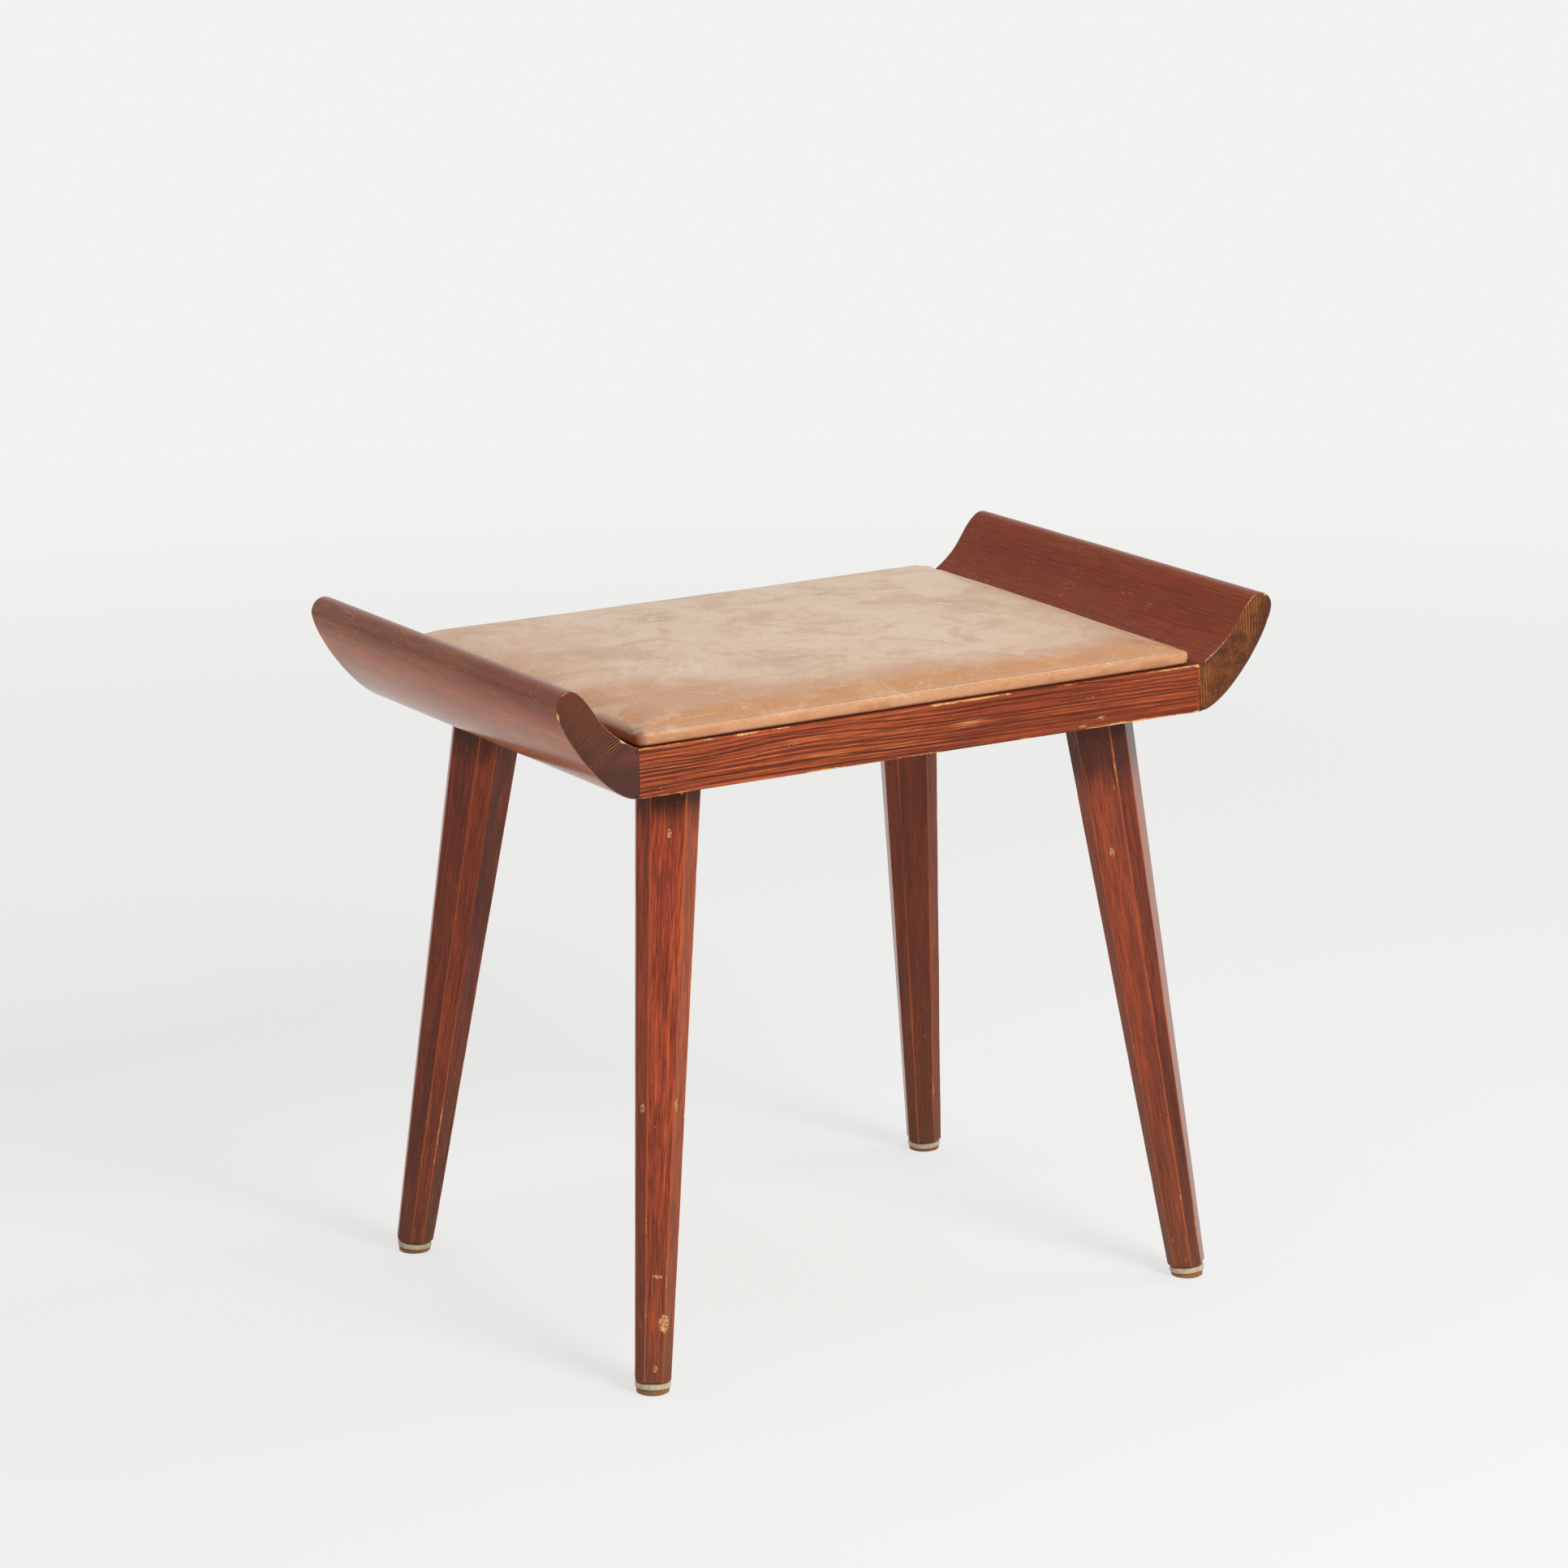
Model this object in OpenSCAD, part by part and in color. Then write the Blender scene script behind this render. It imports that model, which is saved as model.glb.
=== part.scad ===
// Low wooden stool with a leather seat pad between two upswept end wings, on four splayed legs.
// Millimetres. +X runs along the stool, -Y is its front, +Z is up.
// The origin is on the floor, under the middle of the seat.

/* [Seat frame] */
// Length of the frame between its two wing joints
frame_l = 435; // [390:1:500]
// Depth of the frame
frame_d = 344; // [300:1:400]
// Height of the frame's underside above the floor
frame_under = 400; // [340:1:450]
// Height of the rails
rail_h = 33; // [30:0.5:42]
// Thickness of the rails
rail_t = 24; // [18:0.5:30]
// Width of the cross bearers that carry the legs, inwards from the wing joint
bearer_w = 82; // [80:1:100]
// Height of the cross bearers
bearer_h = 30; // [27:0.5:30]

/* [Wings] */
// How far a wing reaches out past its joint
wing_reach = 59.3; // [50:0.1:75]
// How far a wing rises above the rails
wing_rise = 43.7; // [32:0.1:60]
// Radius of a wing's round tip
wing_tip_r = 9.8; // [7:0.1:12]
// Angle at which a wing's inner face leaves the rail
wing_lift = 28; // [20:1:36]

/* [Legs] */
// Distance from a wing joint to the middle of a leg's top
leg_inset_x = 50; // [47:0.5:56]
// Distance from the frame's front or back to the middle of a leg's top
leg_inset_y = 50.5; // [49:0.5:64]
// How far a foot stands out from its leg's top, along the stool
foot_out_x = 45.5; // [30:0.5:62]
// How far a foot stands out from its leg's top, across the stool
foot_out_y = 47; // [30:0.5:62]
// Width of a leg at its top, across its broad faces
leg_top_w = 42.6; // [36:0.1:46]
// Width of a leg at its top, across its corner faces
leg_top_corner_w = 47.2; // [42:0.1:50]
// Width of a leg at its foot, across its broad faces
leg_foot_w = 24; // [20:0.1:30]
// Width of a leg at its foot, across its corner faces
leg_foot_corner_w = 25.4; // [22:0.1:32]
// Turn of the front left leg about its own axis
front_left_turn = 28.2; // [0:0.1:45]
// Turn of the front right leg, which is screwed in further
front_right_turn = 44; // [0:0.1:45]
// Turn of the back left leg
back_left_turn = 21.1; // [0:0.1:45]
// Turn of the back right leg
back_right_turn = 23.5; // [0:0.1:45]

/* [Feet] */
// Tilt of the foot from level, towards the leg's splay
sole_tilt = 5; // [0:0.5:8]
// Diameter of a glide
glide_d = 23.5; // [20:0.1:26]
// Thickness of a glide
glide_t = 4; // [3:0.1:6]
// Radius of a glide's rounded rims
glide_rim_r = 0.9; // [0.4:0.1:1.4]
// Diameter of the glide's neck under the leg
neck_d = 20.5; // [16:0.1:22]
// Height of the glide's neck
neck_t = 0.9; // [0.5:0.1:2]
// Diameter of the felt
felt_d = 21.5; // [18:0.1:24]
// Thickness of the felt at its middle
felt_t = 3.2; // [2:0.1:5]

/* [Seat pad] */
// Gap between the pad and a wing joint
pad_end_gap = 4.5; // [0.5:0.5:10]
// Gap between the pad's side and the frame's front or back
pad_side_gap = 5; // [0:0.5:7]
// Radius of the pad's corners
pad_corner_r = 9; // [7:0.5:20]
// Radius of the roll round the pad's top
pad_roll_r = 4; // [3:0.1:4.3]
// How far the pad's sides draw in at the rail
pad_draw_in = 0.8; // [0:0.1:1.5]
// Thickness of the leather
leather_t = 1.2; // [0.8:0.1:1.8]
// Thickness of the board
board_t = 6; // [5:0.1:9]
// Thickness of the foam at the pad's edge
foam_edge_t = 3.5; // [3:0.1:8]
// Rise of the pad's crown above its edge
crown_rise = 4.5; // [2:0.1:12]
// Width of the leather turned under the board
wrap_w = 32; // [30:1:45]

/* [Fastenings] */
// Diameter of the dowels
dowel_d = 8; // [6:0.5:9]
// Depth of a wing dowel in the wing
wing_dowel_in = 16; // [10:1:18]
// Depth of a wing dowel in the rail
wing_dowel_out = 24; // [18:1:25]
// Depth of a bearer dowel in the rail
bearer_dowel_in = 14; // [10:1:16]
// Depth of a bearer dowel in the bearer
bearer_dowel_out = 20; // [14:1:22]
// Distance between the two dowels at each end of a bearer
bearer_dowel_pitch = 33; // [32:0.5:36]
// Diameter of the leg bolts
bolt_d = 8; // [6:0.5:9]
// Depth of a leg bolt in the leg
bolt_in_leg = 42; // [30:1:60]
// Diameter of a washer
washer_d = 20; // [17:0.5:22]
// Thickness of a washer
washer_t = 1.6; // [1:0.1:2]
// Width of a nut across its flats
nut_w = 13; // [11:0.5:15]
// Height of a nut
nut_t = 6; // [4:0.5:6.5]
// Diameter of the seat screws
screw_d = 4; // [3:0.1:5]
// Diameter of a seat screw's head
screw_head_d = 8; // [6.5:0.1:9]
// Height of a seat screw's head
screw_head_t = 2.4; // [1.5:0.1:3]
// Depth of the pockets that the seat screws start from
screw_pocket = 10; // [6:0.5:14]
// Distance between the seat screws across the stool
screw_pitch_y = 90; // [60:1:110]
// Diameter of a tack
tack_d = 1.6; // [1:0.1:2]
// Diameter of a tack's head
tack_head_d = 6; // [4:0.1:7]
// Thickness of a tack's head
tack_head_t = 0.9; // [0.5:0.1:1.2]
// Greatest distance between two tacks
tack_pitch = 70; // [50:1:120]
// Diameter of the nail that holds a glide
nail_d = 2.6; // [2:0.1:3]
// Length of the nail in the leg
nail_in_leg = 14; // [10:1:20]
// Diameter of the nail's head
nail_head_d = 6; // [5:0.1:8]
// Thickness of the nail's head
nail_head_t = 1; // [0.6:0.1:1.4]

/* [Hidden] */

// Room left round whatever is glued, screwed or nailed in
fit_gap = 0.05;
// Room between the leather and what it covers
soft_gap = 0.2;
// How far a cut runs past the face that it opens
overrun = 5;
// How far a drill's point reaches past the dowel or bolt
drill_spare = 2;

// Steps along each curved stretch of a wing, and round its tip
curve_steps = 14;
tip_steps = 12;
// Facets round drilled and turned pieces
round_fn = 48;

// The two sides and the two faces of the stool, as signs along X and Y
left = -1;
right = 1;
front = -1;
back = 1;
sides = [left, right];
faces = [front, back];
corners = [[left, front], [right, front], [left, back], [right, back]];

// Levels
rail_top = frame_under + rail_h;
bearer_top = frame_under + bearer_h;
board_under = rail_top + leather_t;
board_top = board_under + board_t;
pad_edge_h = leather_t + board_t + foam_edge_t + leather_t;
foot_h = felt_t + glide_t + neck_t;

// Seat pad in plan
pad_l = frame_l - 2 * pad_end_gap;
pad_d = frame_d - 2 * pad_side_gap;

// Places of the leg tops and the feet, and the splay between them
top_x = frame_l / 2 - leg_inset_x;
top_y = frame_d / 2 - leg_inset_y;
foot_x = top_x + foot_out_x;
foot_y = top_y + foot_out_y;
leg_rise = frame_under - foot_h;
leg_splay = atan2(norm([foot_out_x, foot_out_y]), leg_rise);
leg_run = norm([foot_out_x, foot_out_y, leg_rise]);
leg_diagonal = leg_top_corner_w;

quarter_turn = 90;
// Handles of a wing's curves, as shares of the chord that each spans
inner_handle_shares = [0.625, 0.34];
outer_handle_shares = [0.206, 0.253];
// Where the round tip starts and ends, as angles from level
tip_start = 130;
tip_end = -8;

// Leg bolts: height of the washer's seat above the bearer's underside, along the leg
bolt_seat = bearer_h * 2 / 3;
bolt_end_spare = 1;
// Room round a washer in its pocket
washer_room = 1;
pocket_d = washer_d + 2 * washer_room;

// Wing dowels: two to a joint, at shares of the rail's height
wing_dowel_shares = [0.41, 0.76];

// Tacks, set inside the edge of the turned leather
tack_inset = wrap_w * 0.82;
tack_in = leather_t + board_t * 0.6;

// Points of a cubic curve through p[0] and p[3] with handles p[1] and p[2]
function bezier(p, t) = p[0] * pow(1 - t, 3) + p[1] * 3 * t * pow(1 - t, 2)
    + p[2] * 3 * pow(t, 2) * (1 - t) + p[3] * pow(t, 3);
function heading(a) = [cos(a), sin(a)];

// A wing's end outline, from the joint's top over the tip to the joint's foot
tip_centre = [wing_reach - wing_tip_r, rail_h + wing_rise - wing_tip_r];
tip_from = tip_centre + wing_tip_r * heading(tip_start);
tip_to = tip_centre + wing_tip_r * heading(tip_end);
joint_top = [0, rail_h];
joint_foot = [0, 0];
inner_chord = norm(tip_from - joint_top);
outer_chord = norm(tip_to - joint_foot);
inner_curve = [
    joint_top,
    joint_top + inner_chord * inner_handle_shares[0] * heading(wing_lift),
    tip_from - inner_chord * inner_handle_shares[1] * heading(tip_start - quarter_turn),
    tip_from
];
outer_curve = [
    tip_to,
    tip_to + outer_chord * outer_handle_shares[0] * heading(tip_end - quarter_turn),
    joint_foot + [outer_chord * outer_handle_shares[1], 0],
    joint_foot
];
wing_outline = concat(
    [for (i = [0:curve_steps - 1]) bezier(inner_curve, i / curve_steps)],
    [for (i = [0:tip_steps]) tip_centre + wing_tip_r * heading(tip_start + (tip_end - tip_start) * i / tip_steps)],
    [for (i = [1:curve_steps]) bezier(outer_curve, i / curve_steps)]
);

// An eight-sided section: broad faces w apart, corner faces c apart, the first broad face facing the angle a
function octagon(w, c, a) = [
    for (k = [0:7])
        let (near = (k % 2 == 0) ? w / 2 : c / 2, far = (k % 2 == 0) ? c / 2 : w / 2)
        let (across = (far - near * cos(45)) / sin(45))
        near * heading(a + 45 * k) + across * heading(a + 45 * k + 90)
];

// Sum of a list's points, from the i-th on
function total(v, i = 0) = i == len(v) - 1 ? v[i] : v[i] + total(v, i + 1);
function middle(ring) = total(ring) / len(ring);

// A closed solid through rings of equal count, each a list of points
module loft(rings) {
    n = len(rings[0]);
    m = len(rings);
    points = concat([for (ring = rings) each ring], [middle(rings[0]), middle(rings[m - 1])]);
    walls = [
        for (r = [0:m - 2]) for (i = [0:n - 1])
            let (a = r * n + i, b = r * n + (i + 1) % n)
            each [[a, a + n, b + n], [a, b + n, b]]
    ];
    ends = [
        for (i = [0:n - 1])
            each [[m * n, i, (i + 1) % n], [m * n + 1, (m - 1) * n + (i + 1) % n, (m - 1) * n + i]]
    ];
    polyhedron(points = points, faces = concat(walls, ends), convexity = 6);
}

// Places a piece at a foot, square to the leg
module at_leg(side, face) {
    splay_way = atan2(face * foot_out_y, side * foot_out_x);
    translate([side * foot_x, face * foot_y, foot_h])
        rotate([0, 0, splay_way]) rotate([0, -leg_splay, 0]) rotate([0, 0, -splay_way])
            children();
}

// Places a piece at a foot, square to the sole
module at_sole(side, face) {
    splay_way = atan2(face * foot_out_y, side * foot_out_x);
    translate([side * foot_x, face * foot_y, foot_h])
        rotate([0, 0, splay_way]) rotate([0, -sole_tilt, 0])
            children();
}

// A drilled hole or a round pin along +X, starting at the origin
module pin_x(d, l) {
    rotate([0, 90, 0]) cylinder(d = d, h = l, $fn = round_fn);
}

// A drilled hole or a round pin along +Y, starting at the origin
module pin_y(d, l) {
    rotate([-90, 0, 0]) cylinder(d = d, h = l, $fn = round_fn);
}

// The wing dowels, or their holes with room and a drill point's spare
module wing_dowel_set(side, face, room, spare) {
    for (share = wing_dowel_shares)
        translate([
            side * frame_l / 2,
            face * (frame_d - rail_t) / 2,
            frame_under + rail_h * share
        ])
            translate([side < 0 ? -wing_dowel_in - spare : -wing_dowel_out - spare, 0, 0])
                pin_x(dowel_d + 2 * room, wing_dowel_in + wing_dowel_out + 2 * spare);
}

// The bearer dowels on each side of a leg, or their holes
module bearer_dowel_set(side, face, room, spare) {
    for (way = sides)
        translate([
            side * top_x + way * bearer_dowel_pitch / 2,
            face * (frame_d / 2 - rail_t),
            frame_under + bearer_h / 2
        ])
            translate([0, face < 0 ? -bearer_dowel_in - spare : -bearer_dowel_out - spare, 0])
                pin_y(dowel_d + 2 * room, bearer_dowel_in + bearer_dowel_out + 2 * spare);
}

module rail(face) {
    color([0.62, 0.25, 0.12])
        difference() {
            translate([-frame_l / 2, face < 0 ? -frame_d / 2 : frame_d / 2 - rail_t, frame_under])
                cube([frame_l, rail_t, rail_h]);
            for (side = sides) {
                wing_dowel_set(side, face, fit_gap, drill_spare);
                bearer_dowel_set(side, face, fit_gap, drill_spare);
            }
        }
}

module wing(side) {
    color([0.47, 0.21, 0.13])
        difference() {
            mirror([side < 0 ? 1 : 0, 0, 0])
                translate([frame_l / 2, frame_d / 2, frame_under])
                    rotate([90, 0, 0]) linear_extrude(height = frame_d) polygon(wing_outline);
            for (face = faces)
                wing_dowel_set(side, face, fit_gap, drill_spare);
        }
}

module leg_bearer(side) {
    span = frame_d - 2 * rail_t;
    color([0.72, 0.56, 0.38])
        difference() {
            translate([side < 0 ? -frame_l / 2 : frame_l / 2 - bearer_w, -span / 2, frame_under])
                cube([bearer_w, span, bearer_h]);
            for (face = faces) {
                bearer_dowel_set(side, face, fit_gap, drill_spare);
                at_leg(side, face) {
                    translate([0, 0, leg_run - overrun])
                        cylinder(d = bolt_d + 2 * fit_gap, h = bearer_h + 2 * overrun, $fn = round_fn);
                    translate([0, 0, leg_run + bolt_seat])
                        cylinder(d = pocket_d, h = bearer_h, $fn = round_fn);
                }
                seat_screw_place(side, face) {
                    translate([0, 0, -overrun])
                        cylinder(d = screw_head_d + 2 * fit_gap, h = screw_pocket + overrun, $fn = round_fn);
                    cylinder(d = screw_d + 2 * fit_gap, h = bearer_h + overrun, $fn = round_fn);
                }
            }
        }
}

module leg(side, face, turn) {
    // The blank runs on past both of its cut ends, at the same taper
    spare = 2 * overrun;
    grow = (leg_top_w - leg_foot_w) / leg_run * spare;
    grow_corner = (leg_top_corner_w - leg_foot_corner_w) / leg_run * spare;
    low = octagon(leg_foot_w - grow, leg_foot_corner_w - grow_corner, turn);
    high = octagon(leg_top_w + grow, leg_top_corner_w + grow_corner, turn);
    color([0.50, 0.22, 0.14])
        difference() {
            at_leg(side, face)
                loft([[for (p = low) [p[0], p[1], -spare]], [for (p = high) [p[0], p[1], leg_run + spare]]]);
            translate([side * top_x, face * top_y, frame_under])
                translate([-leg_diagonal, -leg_diagonal, 0])
                    cube([2 * leg_diagonal, 2 * leg_diagonal, 3 * spare]);
            at_sole(side, face) {
                translate([-leg_diagonal, -leg_diagonal, -3 * spare])
                    cube([2 * leg_diagonal, 2 * leg_diagonal, 3 * spare]);
                translate([0, 0, -overrun])
                    cylinder(d = nail_d + 2 * fit_gap, h = nail_in_leg + drill_spare + overrun, $fn = round_fn);
            }
            at_leg(side, face)
                translate([0, 0, leg_run - bolt_in_leg - drill_spare])
                    cylinder(d = bolt_d + 2 * fit_gap, h = bolt_in_leg + drill_spare + 2 * spare, $fn = round_fn);
        }
}

module leg_bolts() {
    top = bolt_seat + washer_t + nut_t + bolt_end_spare;
    color([0.62, 0.63, 0.65])
        for (c = corners)
            at_leg(c[0], c[1])
                translate([0, 0, leg_run - bolt_in_leg]) rotate_extrude($fn = round_fn)
                    polygon([
                        [0, 0],
                        [bolt_d / 4, bolt_d / 4],
                        [bolt_d / 2, bolt_d],
                        [bolt_d / 2, bolt_in_leg + top - bolt_d / 8],
                        [bolt_d * 3 / 8, bolt_in_leg + top],
                        [0, bolt_in_leg + top]
                    ]);
}

module leg_washers() {
    color([0.66, 0.66, 0.64])
        for (c = corners)
            at_leg(c[0], c[1])
                translate([0, 0, leg_run + bolt_seat])
                    difference() {
                        cylinder(d = washer_d, h = washer_t, $fn = round_fn);
                        translate([0, 0, -overrun])
                            cylinder(d = bolt_d + 2 * fit_gap, h = washer_t + 2 * overrun, $fn = round_fn);
                    }
}

module leg_nuts() {
    color([0.60, 0.60, 0.58])
        for (c = corners)
            at_leg(c[0], c[1])
                translate([0, 0, leg_run + bolt_seat + washer_t])
                    difference() {
                        cylinder(d = nut_w / cos(30), h = nut_t, $fn = 6);
                        translate([0, 0, -overrun])
                            cylinder(d = bolt_d + 2 * fit_gap, h = nut_t + 2 * overrun, $fn = round_fn);
                    }
}

// Half section of a glide: neck, then a disc with rounded rims, over the felt
module glide_section() {
    r = glide_d / 2;
    difference() {
        union() {
            translate([0, -neck_t - glide_t])
                square([r - glide_rim_r, glide_t]);
            translate([0, -neck_t - glide_t + glide_rim_r])
                square([r, glide_t - 2 * glide_rim_r]);
            for (z = [glide_rim_r, glide_t - glide_rim_r])
                translate([r - glide_rim_r, -neck_t - glide_t + z])
                    circle(r = glide_rim_r, $fn = round_fn);
            translate([0, -neck_t - glide_rim_r])
                square([neck_d / 2, neck_t + glide_rim_r]);
        }
        translate([-overrun, -neck_t - glide_t - overrun])
            square([overrun + nail_d / 2 + fit_gap, neck_t + glide_t + 2 * overrun]);
        translate([-overrun, -neck_t - glide_t - overrun])
            square([overrun + nail_head_d / 2 + fit_gap, nail_head_t + overrun]);
    }
}

module glide(side, face) {
    color([0.78, 0.71, 0.61])
        at_sole(side, face) rotate_extrude($fn = round_fn) glide_section();
}

module felt(side, face) {
    color([0.45, 0.29, 0.16])
        difference() {
            at_sole(side, face)
                translate([0, 0, -foot_h - felt_t])
                    cylinder(d = felt_d, h = 2 * felt_t, $fn = round_fn);
            translate([side * foot_x - felt_d, face * foot_y - felt_d, -2 * foot_h])
                cube([2 * felt_d, 2 * felt_d, 2 * foot_h]);
        }
}

module glide_nails() {
    color([0.62, 0.62, 0.62])
        for (c = corners)
            at_sole(c[0], c[1])
                translate([0, 0, -neck_t - glide_t]) rotate_extrude($fn = round_fn)
                    polygon([
                        [0, 0],
                        [nail_head_d / 2, 0],
                        [nail_head_d / 2, nail_head_t],
                        [nail_d / 2, nail_head_t],
                        [nail_d / 2, neck_t + glide_t + nail_in_leg - nail_d],
                        [0, neck_t + glide_t + nail_in_leg]
                    ]);
}

// Points round the pad's plan: corner arcs with spaced points along the sides between them
corner_steps = 4;
side_steps = 5;
function plan(hx, hy, r) =
    let (cs = [[hx - r, hy - r], [r - hx, hy - r], [r - hx, r - hy], [hx - r, r - hy]])
    [for (q = [0:3])
        let (next = cs[(q + 1) % 4], turned = 90 * (q + 1))
        each concat(
            [for (i = [0:corner_steps]) cs[q] + r * heading(90 * (q + i / corner_steps))],
            [for (i = [1:side_steps - 1])
                (cs[q] * (side_steps - i) + next * i) / side_steps + r * heading(turned)]
        )];

// Rise of the crown over the flat part of the top, as a share
function crown_share(x, y, hx, hy) = max(0, 1 - pow(x / hx, 2)) * max(0, 1 - pow(y / hy, 2));

// The pad's outer surface from its lowest ring to near its middle, drawn in all round by shrink
roll_steps = 4;
top_ring_shares = [0.92, 0.78, 0.6, 0.4, 0.2];
function pad_rings(shrink) =
    let (hx = pad_l / 2 - shrink, hy = pad_d / 2 - shrink, r = pad_corner_r - shrink)
    let (roll = pad_roll_r - shrink, top = pad_edge_h - shrink, fx = hx - roll, fy = hy - roll)
    concat(
        [[for (p = plan(hx - pad_draw_in, hy - pad_draw_in, r - pad_draw_in)) [p[0], p[1], shrink]]],
        [for (i = [0:roll_steps])
            let (a = 90 * i / roll_steps, inset = roll * (1 - cos(a)))
            [for (p = plan(hx - inset, hy - inset, r - inset)) [p[0], p[1], top - roll * (1 - sin(a))]]],
        [for (s = top_ring_shares)
            [for (p = plan(fx, fy, r - roll))
                [p[0] * s, p[1] * s, top + crown_rise * crown_share(p[0] * s, p[1] * s, fx, fy)]]]
    );

// The edge of the leather under the board, at a height above the rails
function wrap_ring(z) = [
    for (p = plan(pad_l / 2 - wrap_w, pad_d / 2 - wrap_w, pad_corner_r / 2)) [p[0], p[1], z]
];

// The whole pad as one solid, drawn in all round by shrink
module pad_solid(shrink) {
    translate([0, 0, rail_top]) loft(pad_rings(shrink));
}

// Where the tacks stand: spaced evenly along all four sides
module tack_places() {
    run_x = pad_l / 2 - tack_inset;
    run_y = pad_d / 2 - tack_inset;
    count_x = ceil(2 * run_x / tack_pitch);
    count_y = ceil(2 * run_y / tack_pitch);
    for (face = faces)
        for (i = [0:count_x])
            translate([run_x * (2 * i / count_x - 1), face * run_y, rail_top])
                children();
    for (side = sides)
        for (i = [1:count_y - 1])
            translate([side * run_x, run_y * (2 * i / count_y - 1), rail_top])
                children();
}

module tack_hole() {
    translate([0, 0, -overrun])
        cylinder(d = tack_d + 2 * fit_gap, h = overrun + tack_in + drill_spare / 4, $fn = round_fn / 2);
}

// Foot of a seat screw's hole, on the bearer's underside
module seat_screw_place(side, face) {
    translate([side * top_x, face * screw_pitch_y / 2, frame_under])
        children();
}
seat_screw_l = bearer_h - screw_pocket + (board_under - bearer_top) + board_t * 0.7;

module seat_board() {
    edge = leather_t + pad_draw_in + soft_gap;
    hx = pad_l / 2 - edge;
    hy = pad_d / 2 - edge;
    r = pad_corner_r - edge;
    color([0.76, 0.62, 0.42])
        difference() {
            translate([0, 0, board_under])
                linear_extrude(height = board_t)
                    union() {
                        square([2 * hx - 2 * r, 2 * hy], center = true);
                        square([2 * hx, 2 * hy - 2 * r], center = true);
                        for (side = sides)
                            for (face = faces)
                                translate([side * (hx - r), face * (hy - r)])
                                    circle(r = r, $fn = round_fn);
                    }
            tack_places() tack_hole();
            for (side = sides)
                for (face = faces)
                    seat_screw_place(side, face)
                        cylinder(
                            d = screw_d + 2 * fit_gap,
                            h = screw_pocket + seat_screw_l + drill_spare / 4,
                            $fn = round_fn
                        );
        }
}

module seat_foam() {
    color([0.90, 0.84, 0.62])
        difference() {
            pad_solid(leather_t + soft_gap);
            translate([-pad_l, -pad_d, rail_top - overrun])
                cube([2 * pad_l, 2 * pad_d, board_top - rail_top + overrun]);
        }
}

module seat_cover() {
    outer = pad_rings(0);
    inner = pad_rings(leather_t);
    color([0.78, 0.64, 0.50])
        difference() {
            translate([0, 0, rail_top])
                loft(concat(
                    [for (i = [len(inner) - 1:-1:0]) inner[i]],
                    [wrap_ring(leather_t), wrap_ring(0)],
                    outer
                ));
            tack_places() tack_hole();
        }
}

module cover_tacks() {
    color([0.20, 0.19, 0.19])
        tack_places()
            translate([0, 0, -tack_head_t]) rotate_extrude($fn = round_fn / 2)
                polygon([
                    [0, 0],
                    [tack_head_d / 2, tack_head_t / 2],
                    [tack_head_d / 2, tack_head_t],
                    [tack_d / 2, tack_head_t],
                    [tack_d / 2, tack_head_t + tack_in - tack_d],
                    [0, tack_head_t + tack_in]
                ]);
}

module seat_screws() {
    color([0.70, 0.66, 0.50])
        for (side = sides)
            for (face = faces)
                seat_screw_place(side, face)
                    translate([0, 0, screw_pocket - screw_head_t]) rotate_extrude($fn = round_fn)
                        polygon([
                            [0, 0],
                            [screw_head_d / 2, 0],
                            [screw_head_d / 2, screw_head_t],
                            [screw_d / 2, screw_head_t],
                            [screw_d / 2, screw_head_t + seat_screw_l - screw_d],
                            [0, screw_head_t + seat_screw_l]
                        ]);
}

module wing_dowels() {
    color([0.85, 0.72, 0.52])
        for (c = corners)
            wing_dowel_set(c[0], c[1], 0, 0);
}

module bearer_dowels() {
    color([0.85, 0.72, 0.52])
        for (c = corners)
            bearer_dowel_set(c[0], c[1], 0, 0);
}

rail(front);  // front_rail
rail(back);  // back_rail
wing(left);  // left_wing
wing(right);  // right_wing
wing_dowels();
leg_bearer(left);  // left_leg_bearer
leg_bearer(right);  // right_leg_bearer
bearer_dowels();
leg(left, front, -front_left_turn);  // front_left_leg
leg(right, front, front_right_turn);  // front_right_leg
leg(left, back, back_left_turn);  // back_left_leg
leg(right, back, -back_right_turn);  // back_right_leg
leg_bolts();
leg_washers();
leg_nuts();
glide(left, front);  // front_left_glide
glide(right, front);  // front_right_glide
glide(left, back);  // back_left_glide
glide(right, back);  // back_right_glide
felt(left, front);  // front_left_felt
felt(right, front);  // front_right_felt
felt(left, back);  // back_left_felt
felt(right, back);  // back_right_felt
glide_nails();
seat_board();
seat_foam();
seat_cover();
cover_tacks();
seat_screws();
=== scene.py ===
import math

import bpy
from mathutils import Matrix, Vector, noise


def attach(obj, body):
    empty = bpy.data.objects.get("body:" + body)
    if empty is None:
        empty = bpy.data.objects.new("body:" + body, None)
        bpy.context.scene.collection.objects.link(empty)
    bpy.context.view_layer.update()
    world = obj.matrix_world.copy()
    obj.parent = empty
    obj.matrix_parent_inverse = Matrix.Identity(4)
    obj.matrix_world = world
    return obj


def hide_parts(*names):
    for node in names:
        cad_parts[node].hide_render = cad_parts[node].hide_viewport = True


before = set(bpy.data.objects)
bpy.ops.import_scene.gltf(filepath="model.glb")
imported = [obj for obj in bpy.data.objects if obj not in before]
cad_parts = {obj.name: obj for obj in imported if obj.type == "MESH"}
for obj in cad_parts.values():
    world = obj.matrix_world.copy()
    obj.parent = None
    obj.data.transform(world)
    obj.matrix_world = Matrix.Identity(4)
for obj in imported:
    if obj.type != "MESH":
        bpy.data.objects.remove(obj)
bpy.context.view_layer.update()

# Lengths are in millimetres until a mesh is written.
MM = 0.001
FRAME_L, FRAME_D, FRAME_UNDER = 435.0, 344.0, 400.0
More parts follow.
